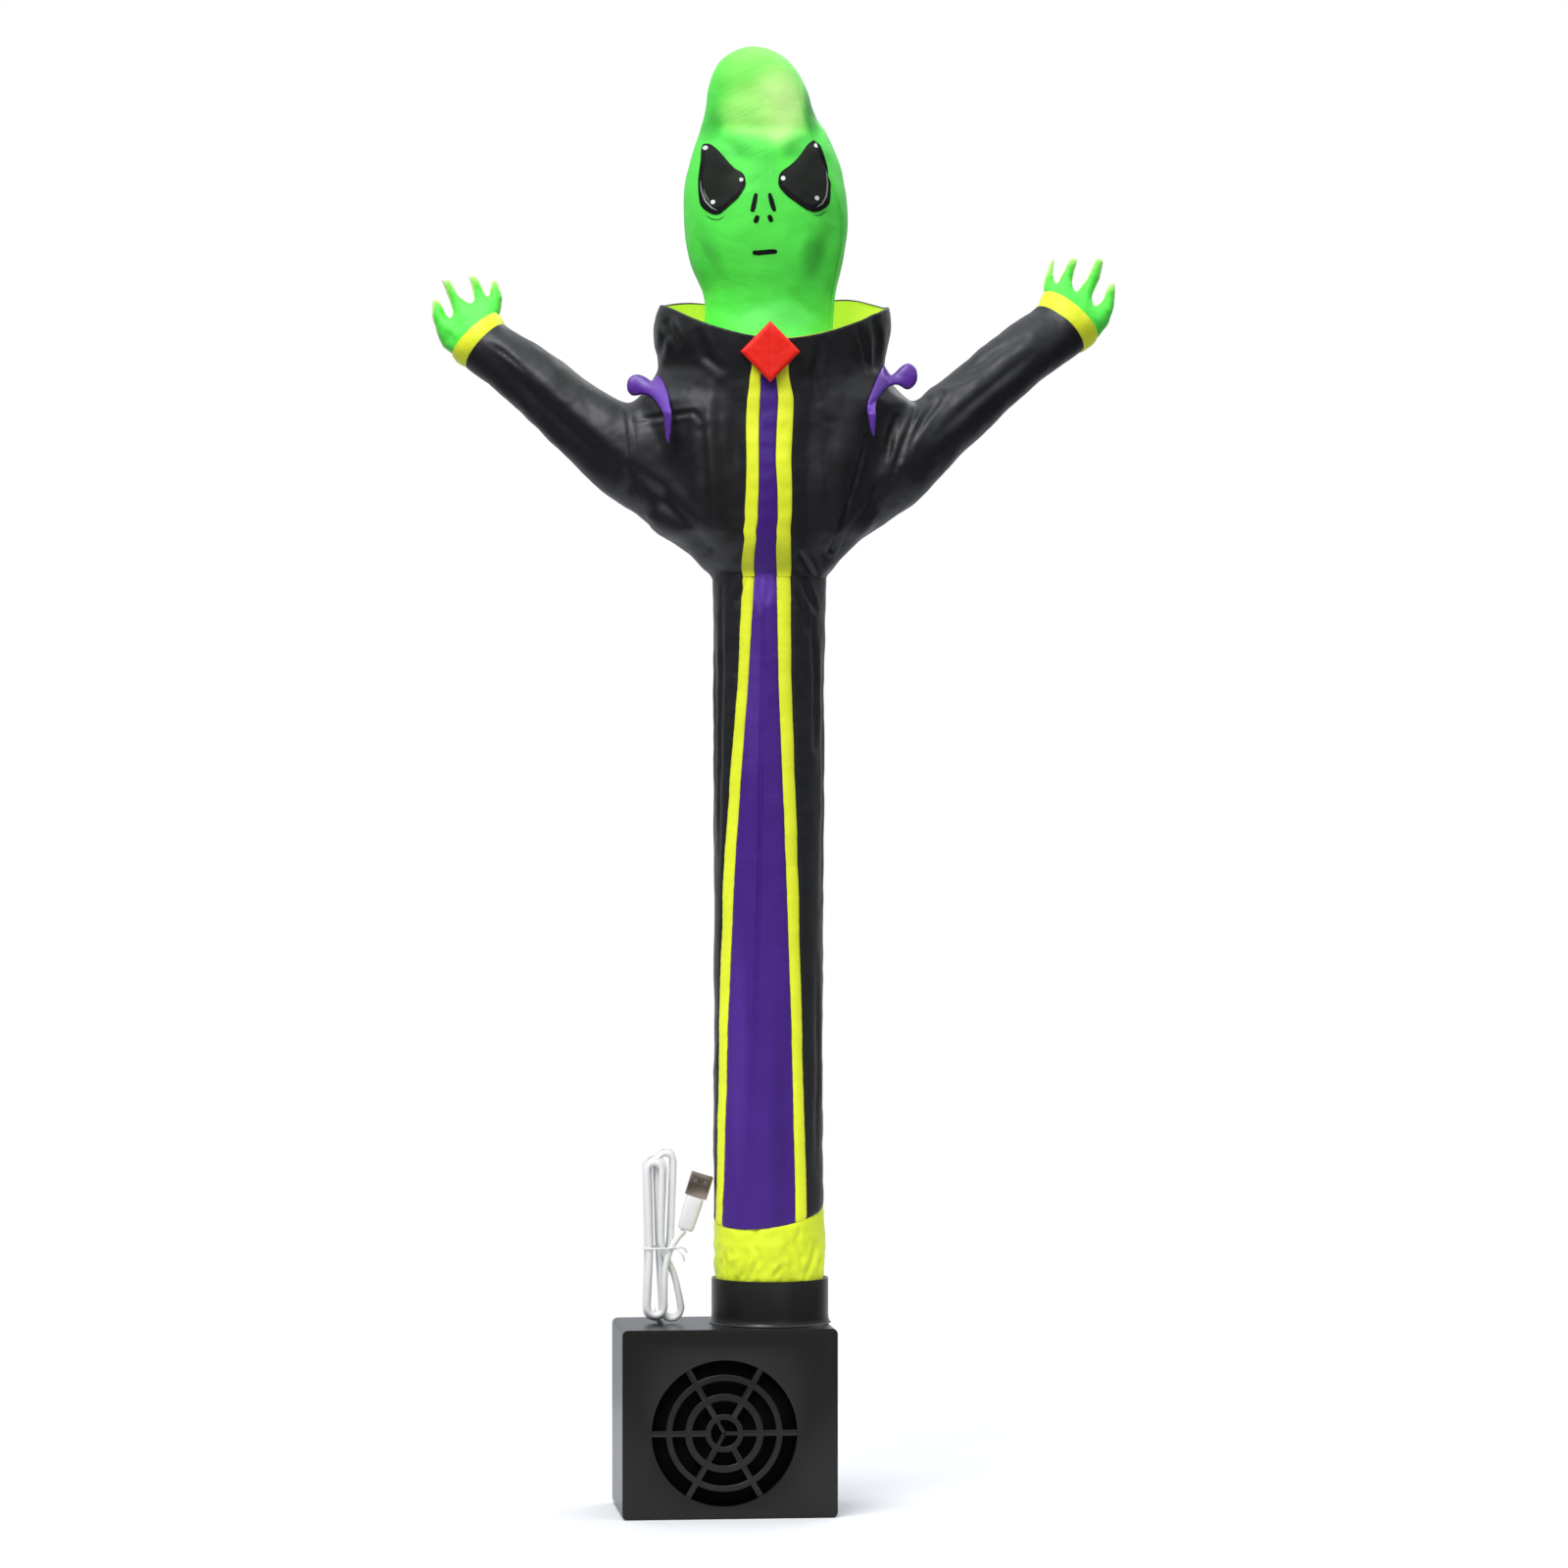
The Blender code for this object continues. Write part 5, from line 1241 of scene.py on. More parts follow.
def flat_coordinates(mesh):
    """Texture coordinates in mm, laid on from the front, back and sides."""
    layer = mesh.uv_layers.new(name="cloth_mm")
    for polygon in mesh.polygons:
        sideways = abs(polygon.normal.x) > abs(polygon.normal.y) + 0.2
        for loop in polygon.loop_indices:
            place = mesh.vertices[mesh.loops[loop].vertex_index].co / MM
            layer.data[loop].uv = (place.y if sideways else place.x, place.z)


def build_robe():
    """The robe with its sleeves and collar, and the placket's three strips."""
    cloth = bpy.context.scene.dancer_cloth
    skin = union_mesh(torso_forms(), "robe_skin", cloth.spacing)
    points = read_values(skin.vertices, "co", 3) / MM
    edges = read_values(skin.edges, "vertices", 2, int)
    # the armpits are smoothed most
    near = np.exp(-((np.abs(points[:, 0]) - 77.0) / 9.0) ** 2) * (np.abs(points[:, 2] - 570) < 60)
    near *= np.clip((606.0 - points[:, 2]) / 12.0, 0, 1)
    points = relaxed(points, edges, np.full(len(points), 0.5), 4)
    points = relaxed(points, edges, 0.6 * near, 50)
    move_points(skin, points)
    normal = read_values(skin.vertices, "normal", 3)
    relief = fold_relief(points, normal, cloth.crease_depth)
    relief += ripple_relief(points * [1.25, 1.0, 0.75], 2.2 * cloth.ripple, 26.0, 2.0)
    relief += ripple_relief(points, 0.5 * cloth.ripple, 8.0, 3.0)
    relief = np.where(points[:, 2] > 622.0, np.clip(relief, -1.1, 1.5), relief)
    move_points(skin, points + normal * relief[:, None])
    with edited(skin) as form:
        open_ends(form)
        TORSO["surface"] = BVHTree.FromBMesh(form)
        turn_rim(form)
    shelf = grid_mesh("shelf", tube_panel(SHELF, SHELF[0][0], SHELF[-1][0], None, (), 5.0), True)
    with edited(skin) as form:
        form.from_mesh(shelf)
    bpy.data.meshes.remove(shelf)
    flat_coordinates(skin)
    robe = place_mesh("robe", skin, shared_cloth("black"),
                      ("robe_front_left", "robe_front_right", "robe_back_left",
                       "robe_back_right", "sleeve_left", "sleeve_right", "collar_front_left",
                       "collar_front_right", "collar_back_left", "collar_back_right"))
    for name, seam, lift, colour_name, node in (
            ("placket_left", 0, 0.5, "yellow", "placket_stripe_left"),
            ("placket_purple", 1, 0.35, "purple", "placket_middle"),
            ("placket_right", 2, 0.5, "yellow", "placket_stripe_right")):
        declare_sheet(place_grid(name, strip_points((seam, seam + 1), lift), False,
                                 face_from_axis, colour_name, (node,)))


def draped(x, height, lift, otherwise=None):
    """Points that lie on the robe's front, lifted a little; otherwise where it has none."""
    if "surface" not in TORSO:
        raise RuntimeError("the robe is built before what is sewn to it")
    points = np.stack([x, np.zeros_like(x), height], axis=-1)
    flat = points.reshape(-1, 3)
    apart = None if otherwise is None else otherwise.ravel()
    for n, point in enumerate(flat):
        hit = TORSO["surface"].ray_cast(Vector((point[0] * MM, -0.3, point[2] * MM)),
                                        Vector((0, 1, 0)))[0]
        depth = 1e3 if hit is None else hit.y / MM - lift
        flat[n, 1] = depth if apart is None else min(depth, apart[n])
    return points


def strip_points(seams, lift):
    """A strip of the placket, from the waist to below the brooch, on the robe's front."""
    fine = fine_rows(ROBE + COLLAR, FINE_STEP)
    levels = np.linspace(506.4, 627.0, 120)[:, None]
    left, right = (stripe_angles(n)(levels) for n in seams)
    angle = left + (right - left) * np.linspace(0, 1, 9)[None, :]
    flat = tube_points(fine, angle, levels + 0 * angle)
    points = draped(flat[..., 0], flat[..., 2], lift)
    points[:, [0, -1], 1] += 0.45
    points[:, 1:-1, 1] -= 0.12 * np.sin(levels / 1.7)
    return points


def declare_sheet(piece):
    """Work out a cloth piece's size and area from its surface; the values are not kept."""
    area = sum(polygon.area for polygon in piece.data.polygons)
    coordinates = read_values(piece.data.uv_layers[0].data, "uv", 2, np.float32)
    width, length = (max(NARROWEST_SHEET, round(float(size), 3))
                     for size in coordinates.max(axis=0) * MM)
    area = min(max(area, LEAST_CUT * width * length), width * length)


def build_cuffs():
    """Puffed yellow cuffs."""
    cloth = bpy.context.scene.dancer_cloth
    first, last = 5.9, 6.98
    for seed, side in enumerate(ARMS, 21):
        fine = arm_fine(side)
        path = fine[(fine[:, 0] >= first) & (fine[:, 0] <= last)]
        run = run_along(np.abs(np.diff(path[:, 1:5], axis=0)).max(axis=1))
        count = max(4, int(run[-1] / cloth.spacing))
        rows = np.interp(np.linspace(0, run[-1], count), run, path[:, 0])
        rows[0], rows[-1] = first, last
        columns = int(math.pi * 36.0 / cloth.spacing) + 20
        angle = np.linspace(0, 360, columns, endpoint=False)[None, :]
        points = arm_points(side, angle, rows[:, None] + np.zeros_like(angle))
        relief = ripple_relief(points, cloth.ripple, 13.0, seed)
        relief = relief + 0.4 * np.sin(math.pi * np.linspace(0, 1, count)[:, None]) ** 0.6
        for row in (0, -1):
            relief = relief + seam_relief(points, closed_line(points[row]), seed + row)
        points = points + normals(points, True) * relief[..., None]
        declare_sheet(place_grid(f"cuff_{side}_cloth", points, True, face_outward, "yellow",
                                 (f"cuff_{side}",)))


def even_ring(ring, spacing):
    """A closed ring of places with its points evenly apart."""
    ring = closed_line(ring)
    run = run_along(np.linalg.norm(np.diff(ring, axis=0), axis=1))
    at = np.linspace(0, run[-1], int(run[-1] / spacing) + 1)[:-1]
    return np.stack([np.interp(at, run, ring[:, n]) for n in (0, 1)], axis=1)


def inside_ring(places, ring):
    """Whether places lie inside a closed ring."""
    inside = np.zeros(len(places), bool)
    for start, end in zip(ring, np.roll(ring, -1, axis=0)):
        crosses = (start[1] > places[:, 1]) != (end[1] > places[:, 1])
        if start[1] != end[1]:
            at = start[0] + (places[:, 1] - start[1]) / (end[1] - start[1]) * (end[0] - start[0])
            inside ^= crosses & (places[:, 0] < at)
    return inside


def puffed_patch(ring, spacing):
    """Places inside a ring, their triangles, and how high a blown-up cloth stands there."""
    low, high = ring.min(axis=0) - 2 * spacing, ring.max(axis=0) + 2 * spacing
    cell = spacing / 2
    xs, zs = (np.arange(low[n], high[n], cell) for n in (0, 1))
    grid = np.stack(np.meshgrid(xs, zs, indexing="ij"), axis=-1)
    inside = inside_ring(grid.reshape(-1, 2), ring).reshape(grid.shape[:2])
    swell = np.zeros(inside.shape)
    for _ in range(PUFF_ROUNDS):
        around = (np.roll(swell, 1, 0) + np.roll(swell, -1, 0)
                  + np.roll(swell, 1, 1) + np.roll(swell, -1, 1)) / 4
        swell = inside * (around + cell ** 2 / 4)
    coarse = np.zeros_like(inside)
    coarse[::2, ::2] = True
    chosen = grid[inside & coarse]
    clear = np.min(np.linalg.norm(chosen[:, None] - ring[None], axis=-1), axis=1) > 0.6 * spacing
    chosen = chosen[clear]
    every = np.vstack([ring, chosen])
    found = geometry.delaunay_2d_cdt([Vector(p) for p in every], [], [list(range(len(ring)))],
                                     1, 1e-5)
    column_at, row_at = np.round((chosen - [xs[0], zs[0]]) / cell).astype(int).T
    height = np.sqrt(2 * swell[column_at, row_at])
    return every, found[2], np.concatenate([np.zeros(len(ring)), height])


def puffed_mesh(name, ring, spacing, middle, front, back):
    """A blown-up cloth form with an outline: its front and back puff out from the middle.

    middle: depth of the middle for an array of places; front, back: shares of the puff.
    """
    places, triangles, height = puffed_patch(ring, spacing)
    rim, shift = len(ring), len(places) - len(ring)
    depth = middle(places)
    ahead, behind = (np.stack([places[:, 0], depth + share * height, places[:, 1]], axis=1)
                     for share in (-front, back))
    faces = []
    for triangle in triangles:
        if max(triangle) >= rim:
            faces.append(tuple(triangle))
            faces.append(tuple(n if n < rim else n + shift for n in reversed(triangle)))
    mesh = bpy.data.meshes.new(name)
    mesh.from_pydata((np.vstack([ahead, behind[rim:]]) * MM).tolist(), [], faces)
    puff = mesh.attributes.new("puff_mm", "FLOAT", "POINT")
    puff.data.foreach_set("value", np.concatenate([height, height[rim:]]).astype(np.float32))
    face_outward(mesh)
    return mesh


def build_hands():
    """Puffed green hands with four claws each, held in the cuffs."""
    for side, outline in HANDS.items():
        ends = []
        for row, share in ((6.7, 0.94), (5.5, 0.88)):
            pair = arm_points(side, np.array([180.0, 0.0]), np.full(2, row))[:, ::2]
            ends.append(pair.mean(axis=0) + (pair - pair.mean(axis=0)) * share)
        held, inner = ends
        claws = [(v.x, v.z) for v in smooth_line([(x, 0.0, z) for x, z in outline], 6)]
        ring = even_ring(np.vstack([claws, held[1], inner[1], inner[0], held[0]]), 0.7)
        foot = inner.mean(axis=0)
        axis = held.mean(axis=0) - foot
        axis /= np.linalg.norm(axis)

        def middle(places, axis=axis, foot=foot):
            along = (places - foot) @ axis
            return np.interp(along, (0.0, 11.0, 22.0, 60.0), (19.0, 22.5, 26.0, 26.0))

        mesh = puffed_mesh(f"hand_{side}_skin", ring, 0.8, middle, 1.0, 1.0)
        points = read_values(mesh.vertices, "co", 3) / MM
        normal = read_values(mesh.vertices, "normal", 3)
        move_points(mesh, points + normal * ripple_relief(points, 0.4, 6.0, 7.0)[:, None])
        place_mesh(f"hand_{side}_skin", mesh, hand_material(side),
                   (f"hand_{side}",))
        build_wrist(side)


def build_wrist(side):
    """The green cloth that spreads from a hand's foot to its cuff's mouth."""
    turn = np.arange(0.0, 360.0, 7.5)
    rings = []
    for row, share in ((6.2, 0.92), (6.7, 0.93), (6.86, 0.86), (6.93, 0.5), (6.93, 0.05)):
        ring = arm_points(side, turn, np.full(len(turn), row))
        rings.append(ring.mean(axis=0) + (ring - ring.mean(axis=0)) * share)
    place_grid(f"wrist_{side}", np.array(rings), True, face_outward, "green")


def hand_material(side):
    """Green cloth with painted light at its thin edges: it pales to yellow green there and at the
    claws' tips.
    """
    cloth = bpy.context.scene.dancer_cloth
    green = tuple(bpy.context.scene.dancer_colours.green)
    material, shading = new_material(f"hand_{side}", green, 0.5, {
        "Sheen Weight": cloth.sheen, "Specular IOR Level": 0.3})
    puff = shading.add("Attribute", "Fac", {}, attribute_name="puff_mm")
    share = shading.add("Math", "Value", {0: puff, 1: 0.125}, operation="MULTIPLY")
    # the pale colour where the puff is low, at the edges and tips, is painted light
    shade = shading.ramp(share, ((0.11, (0.8, 0.95, 0.5)), (1.0, green),
                                 (0.24, (0.35, 0.88, 0.14)), (0.38, (0.08, 0.72, 0.05))))
    crumple = shading.add("TexNoise", "Fac", {
        "Scale": 160.0, "Detail": 3.0, "Vector": shading.coordinates()})
    shading.feed({"Base Color": shade, "Normal": shading.bump(crumple, 0.4, 0.0008)})
    return material


# === pieces: collar, brooch, shoulder pieces ============================================

def collar_top(angle):
    """Height of the collar's upper edge: dipped in front, with raised corners behind."""
    turn = np.radians(angle)
    front = 633.4 + 20.8 * np.abs(np.sin(turn)) ** 1.8
    corner = np.where(np.sin(turn) > 0, 5.5, 3.0)
    back = 654.2 + 2.0 * np.cos(turn) ** 2 + corner * np.sin(2 * turn) ** 2
    return np.where(np.cos(turn) > 0, front, back)


def build_collar():
    """The collar's yellow lining, up to its turned edge, with painted light: a brighter yellow and
    a faint glow.
    """
    lining = tube_panel(COLLAR, COLLAR[0][0] - 0.5, lambda angle: collar_top(angle) + 0.3,
                        None, (), 31.0, sunk=2.3)
    for row, share in ((-1, 1.02), (-2, 1.012), (-3, 1.005)):
        lining[row, :, :2] *= share
    glowing_lining = cloth_material("lining_cloth", LINING_PAINTED_LIGHT_YELLOW)
    # a faint emission: painted light that stands for the light on the lining
    painted_glow = glowing_lining.node_tree.nodes["Principled BSDF"].inputs
    painted_glow["Emission Color"].default_value = (0.85, 1.0, 0.08, 1.0)
    painted_glow["Emission Strength"].default_value = 0.32
    declare_sheet(place_grid("collar_inside", lining, True, face_to_axis, "yellow",
                             ("collar_lining",), glowing_lining))


def build_brooch():
    """A red diamond, puffed, with a pressed crease down its middle."""
    fine = fine_rows(BROOCH_TUBE, 1.0)
    centre_angle, centre_height = BROOCH_CENTRE
    # a square grid turned by 45 degrees fills the diamond evenly
    level, across = np.meshgrid(np.linspace(-1, 1, 41), np.linspace(-1, 1, 41), indexing="ij")
    side_x, side_z = (across + level) / 2, (across - level) / 2
    points = tube_points(fine, centre_angle + BROOCH_HALF_ANGLE * side_x,
                         centre_height + BROOCH_HALF_HEIGHT * side_z)
    rim = np.minimum(1 - np.abs(level), 1 - np.abs(across))
    puff = BROOCH_PUFF * np.clip(rim / 0.16, 0, 1) ** 0.5
    crease = -0.35 * np.exp(-(side_x / 0.035) ** 2)
    relief = puff + crease * (rim > 0.02) + ripple_relief(points, 0.25, 9.0, 41.0)
    normal = normals(points, False)
    if normal[..., 1].mean() > 0:
        normal = -normal
    # the outermost ring of the grid goes back to the collar as the diamond's side
    padded = np.pad(points - normal * BROOCH_SIDE, ((1, 1), (1, 1), (0, 0)), mode="edge")
    padded[1:-1, 1:-1] = points + normal * relief[..., None]
    mesh = grid_mesh("brooch_cloth", padded, False)
    with edited(mesh) as form:
        bmesh.ops.remove_doubles(form, verts=form.verts[:], dist=TINY)
    face_forward(mesh)
    place_mesh("brooch_cloth", mesh, shared_cloth("red"), ("brooch",),
               SHARP_ANGLE)


def build_shoulder_pieces():
    """Purple pieces: a puffed lobe over each shoulder and a flat tail down the front."""
    violet = cloth_material("shoulder_cloth", SHOULDER_PURPLE, 0.36, 0.5, 0.5)
    for side, outline in SHOULDER_PIECES.items():
        ring = even_ring(smooth_outline(outline, 6), 0.6)
        sign = -1.0 if side == "left" else 1.0

        def middle(places, sign=sign):
            over = np.clip((places[:, 0] * sign - 58.0) / 16.0, 0, 1)
            fallen = np.clip((616.0 - places[:, 1]) / 22.0, 0, 1)
            hanging = -12.0 - 26.0 * fallen * (1 - over)
            return draped(places[:, 0], places[:, 1], 0.55, hanging)[:, 1]

        name = f"shoulder_{side}_cloth"
        mesh = puffed_mesh(name, ring, 0.7, middle, 0.55, 0.12)
        flat_coordinates(mesh)
        place_mesh(name, mesh, violet, (f"shoulder_piece_{side}",))


# === pieces: skirt ======================================================================

def hem_top(angle):
    """Height of the seam between the skirt and the hem band."""
    return 161.8 - 7.5 * np.cos(np.radians(angle + 35.0))


def build_skirt():
    """The straight tube's four panels and the hem band."""
    def back(height):
        return stripe_angles(3)(height), stripe_angles(0)(height) + 360.0

    behind = tuple((width, depth, tuple((a + 360.0 if a < 0.0 else a, h) for a, h in marks))
                   for width, depth, marks in SKIRT_CREASES)
    for seed, (part, node, edges, colour_name, bulge) in enumerate((
            ("purple", "front", between_seams(1, 2), "purple", 0.5),
            ("yellow_left", "stripe_left", between_seams(0, 1), "yellow", 0.25),
            ("yellow_right", "stripe_right", between_seams(2, 3), "yellow", 0.25),
            ("black", "back", back, "black", 0.2)), 51):
        points = tube_panel(SKIRT, hem_top, SKIRT[-1][0] + 1.6, edges,
                            behind if part == "black" else SKIRT_CREASES, seed, bulge,
                            (True, False))
        declare_sheet(place_grid(f"skirt_{part}", points, False, face_from_axis, colour_name,
                                 (f"skirt_{node}",)))
    points = tube_panel(HEM, HEM[0][0], hem_top, None, HEM_CREASES, 61.0,
                        ends_sewn=(False, True))
    fade = np.sin(np.linspace(0.12, 1.0, len(points)) * math.pi)[:, None] ** 0.5
    crumple = (ripple_relief(points * [1.0, 1.0, 0.7], 1.0, 9.0, 77.0)
               + ripple_relief(points, 0.6, 4.5, 78.0))
    points += normals(points, True) * (fade * crumple)[..., None]
    lime = cloth_material("hem_cloth", HEM_YELLOW, darker=0.8)
    declare_sheet(place_grid("hem", points, True, face_from_axis, "yellow", ("hem_band",),
                             lime))


# === pieces: blower =====================================================================

def box_form(size):
    """A box as a bmesh, in metres from sizes in mm."""
    form = bmesh.new()
    bmesh.ops.create_cube(form, size=1.0)
    bmesh.ops.scale(form, vec=Vector(size) * MM, verts=form.verts)
    return form


def moved(form, place):
    """A form, moved by a vector in mm."""
    bmesh.ops.translate(form, vec=Vector(place) * MM, verts=form.verts)
    return form


def joined(forms, name):
    """Several forms as one mesh."""
    mesh = bpy.data.meshes.new(name)
    with edited(mesh) as whole:
        for form in forms:
            part = bpy.data.meshes.new("part")
            form.to_mesh(part)
            form.free()
            whole.from_mesh(part)
            bpy.data.meshes.remove(part)
        bmesh.ops.recalc_face_normals(whole, faces=whole.faces[:])
    return mesh


def cut_away(piece, forms, round_edges=False):
    """Cut forms out of a piece, and round its edges if asked."""
    materials = list(piece.data.materials)
    cutters = [linked("cutter", joined([form], "cutter")) for form in forms]
    for cutter in cutters:
        cut = piece.modifiers.new("cut", "BOOLEAN")
        cut.object, cut.operation, cut.solver = cutter, "DIFFERENCE", "EXACT"
    if round_edges:
        soft = piece.modifiers.new("edges", "BEVEL")
        soft.width, soft.segments, soft.limit_method = 0.8 * MM, 3, "ANGLE"
        soft.angle_limit = math.radians(SHARP_ANGLE)
    applied_modifiers(piece)
    for cutter in cutters:
        bpy.data.objects.remove(cutter, do_unlink=True)
    repaint(piece, *materials)
    piece.data.shade_smooth()
    piece.data.set_sharp_from_angle(angle=math.radians(SOFT_ANGLE))


def repaint(piece, *materials):
    """Give a piece its materials in place of those it has."""
    piece.data.materials.clear()
    for material in materials:
        piece.data.materials.append(material)


def rounded_box(size, centre, width):
    """A box with all its edges rounded."""
    form = box_form(size)
    bmesh.ops.bevel(form, geom=form.edges[:], offset=width * MM, segments=2, profile=0.5,
                    affect="EDGES")
    return moved(form, centre)


def turned_form(section, centre, steps, facing=False):
    """A section of radius and height, turned about the Z axis, or the Y axis if facing."""
    form = bmesh.new()
    corners = [form.verts.new((radius * MM, 0.0, rise * MM)) for radius, rise in section]
    for one, two in zip(corners, corners[1:] + corners[:1]):
        form.edges.new((one, two))
    bmesh.ops.spin(form, geom=form.verts[:] + form.edges[:], axis=(0, 0, 1), cent=(0, 0, 0),
                   angle=math.tau, steps=steps, use_merge=True)
    bmesh.ops.remove_doubles(form, verts=form.verts[:], dist=TINY)
    if facing:
        bmesh.ops.rotate(form, matrix=Matrix.Rotation(math.pi / 2, 3, "X"), verts=form.verts,
                         cent=(0, 0, 0))
    moved(form, centre)
    bmesh.ops.recalc_face_normals(form, faces=form.faces[:])
    return form


def ring_section(outer, inner, thick, edge):
    """A flat ring's section with rounded edges."""
    low, high = -thick / 2, thick / 2
    return ((inner + edge, low), (outer - edge, low), (outer, low + edge), (outer, high - edge),
            (outer - edge, high), (inner + edge, high), (inner, high - edge), (inner, low + edge))


def disc(radius, half_thick, y, steps):
    """A disc at the grille's place."""
    section = ((0.001, -half_thick), (radius, -half_thick), (radius, half_thick),
               (0.001, half_thick))
    return turned_form(section, (GRILLE_X, y, GRILLE_Z), steps, True)


def build_blower():
    """The housing's finish, the front cover with its grille, the nozzle and inlet."""
    plastic = plastic_material("blower_plastic", BLOWER_BLACK, 0.3, 900.0, 0.00002)
    for node in ("blower_housing", "power_inlet"):
        repaint(FRAME["nodes"][node], plastic)
    build_cover(plastic)
    nozzle = joined([turned_form(NOZZLE_SECTION, (0, 0, 0), 144)], "nozzle")
    place_mesh("nozzle", nozzle, plastic, ("blower_nozzle",), SHARP_ANGLE)


def build_cover(plastic):
    """The flat front: plate with a round hole, and the grille's rings and spokes."""
    width, middle_y = HOUSING_RIGHT - HOUSING_LEFT, FRONT_Y + COVER_THICK / 2
    box = moved(box_form((width, COVER_THICK, HOUSING_TOP)),
                ((HOUSING_LEFT + HOUSING_RIGHT) / 2, middle_y, HOUSING_TOP / 2))
    corners = [e for e in box.edges
               if abs(e.verts[0].co.y - e.verts[1].co.y) > COVER_THICK * MM / 2]
    bmesh.ops.bevel(box, geom=corners, offset=3 * MM, segments=6, profile=0.5, affect="EDGES")
    cover = place_mesh("front_cover", joined([box], "front_cover"), plastic,
                       ("blower_front_cover",))
    cut_away(cover, [disc(GRILLE_RADIUS, 6.0, middle_y, 120)], round_edges=True)
    bar_y = FRONT_Y + 0.4 + GRILLE_THICK / 2
    bars = [turned_form(ring_section(outer, inner, GRILLE_THICK, 0.35),
                        (GRILLE_X, bar_y, GRILLE_Z), 96, True) for outer, inner in GRILLE_RINGS]
    hub = sum(GRILLE_RINGS[-1]) / 2
    bars += [spoke(60.0 * n, hub, GRILLE_RADIUS + 0.6, SPOKE_WIDTH, bar_y, 2.1)
             for n in range(6)]
    bars += [spoke(120.0 * n, -0.4, hub, THIN_SPOKE_WIDTH, bar_y, 2.0) for n in range(3)]
    place_mesh("grille", joined(bars, "grille"), plastic, (), SOFT_ANGLE)
    # a near-black disc behind the grille: painted shade that stands for the dark inside of the
    # blower
    behind_grille_shade = plastic_material("shroud_black", (0.001, 0.001, 0.001), 0.9, 900.0, 0.0001, 0.1)
    screen = disc(GRILLE_RADIUS + 0.5, 0.3, FRONT_Y + COVER_THICK + 2.6, 96)
    place_mesh("fan_shroud", joined([screen], "fan_shroud"), behind_grille_shade)


def spoke(angle, start, end, width, bar_y, thick):
    """One bar of the grille from one radius to another."""
    form = moved(rounded_box((end - start, thick, width), (0, 0, 0), 0.3),
                 ((start + end) / 2, 0, 0))
    bmesh.ops.transform(form, matrix=Matrix.Rotation(math.radians(-angle), 4, "Y"),
                        verts=form.verts)
    return moved(form, (GRILLE_X, bar_y, GRILLE_Z))


# === pieces: lead =======================================================================

def in_hank(across, up, forward=0.0):
    """A place given across and above the hank's foot, in mm."""
    foot_x, foot_z = HANK_FOOT
    x = foot_x + across * math.cos(HANK_TILT) + up * math.sin(HANK_TILT)
    z = foot_z - across * math.sin(HANK_TILT) + up * math.cos(HANK_TILT)
    return (x, -forward, z)


def hank_points():
    """The wound lead's line: loops drawn in at the tie, then the tail to its plug."""
    points = [in_hank(-0.2, 5.6, -8.0), in_hank(0.0, 9.8, -4.8), in_hank(0.0, 16.0, -3.6)]
    for foot, foot_half, tie, tie_half, top, top_half, forward, low, high in HANK_TURNS:
        bottom, peak = low + foot_half, high - top_half
        levels = (bottom + 2.6, bottom + 8.0, 27.0, TIE_AT, 55.0, 72.0, peak - 7.0,
                  peak - 2.4)
        keys = (bottom, TIE_AT, peak)
        middles = np.interp(levels, keys, (foot, tie, top))
        halves = np.interp(levels, keys, (foot_half, tie_half, top_half))
        rising = [in_hank(*mark, forward) for mark in zip(middles + halves, levels)]
        falling = [in_hank(*mark, forward) for mark in zip(middles - halves, levels)]
        over, under = ([in_hank(middle + half * math.cos(turn), level + half * math.sin(turn),
                                forward) for turn in np.linspace(start, start + math.pi, 6)]
                       for middle, half, level, start in ((top, top_half, peak, 0.0),
                                                          (foot, foot_half, bottom, math.pi)))
        points += rising[2:] if len(points) == 3 else rising[3:]
        points += over + falling[::-1] + under
        if high != HANK_TURNS[-1][-1]:
            points += rising[:3]
    rough = np.array(points + [in_hank(*mark) for mark in HANK_TAIL])
    rough[1:-1] = (rough[:-2] + 6 * rough[1:-1] + rough[2:]) / 8
    return [tuple(point) for point in rough]


def usb_place():
    """Where the plug's grip starts and how it leans."""
    return (Matrix.Translation(Vector(in_hank(*USB_TAIL)) * MM)
            @ Matrix.Rotation(HANK_TILT + USB_TILT, 4, "Y"))


def tube_curve(name, lines, radius, resolution):
    """A round tube along lines of places in mm, each with whether it is closed."""
    curve = bpy.data.curves.new(name, "CURVE")
    curve.dimensions = "3D"
    curve.bevel_depth = radius * MM
    curve.bevel_resolution = resolution
    curve.use_fill_caps = True
    for line, closed in lines:
        spline = curve.splines.new("POLY")
        spline.points.add(len(line) - 1)
        spline.use_cyclic_u = closed
        for point, place in zip(spline.points, line):
            point.co = (*(place * MM), 1.0)
    return linked(name, curve)


def build_lead():
    """The lead from its plug on the blower, round its hank, to the flat metal plug."""
    white = plastic_material("lead_white", LEAD_WHITE, 0.35, 1400.0, 0.00005)
    repaint(FRAME["nodes"]["lead_plug"], white)
    grip = build_usb_grip(white)
    shell = build_usb_shell()
    tie = build_tie(white)
    line = smooth_line([*LEAD_ROUTE, *hank_points()], 5)
    lead = tube_curve("lead", [(line, False)], LEAD_RADIUS, 5)
    lead.data.materials.append(white)
    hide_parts("lead_run", "lead_hank")
    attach(lead, BODY)


def blunt(turn, power):
    """Across and out for angles round an oval with blunt corners."""
    return tuple(np.copysign(np.abs(side) ** power, side) for side in (np.cos(turn), np.sin(turn)))


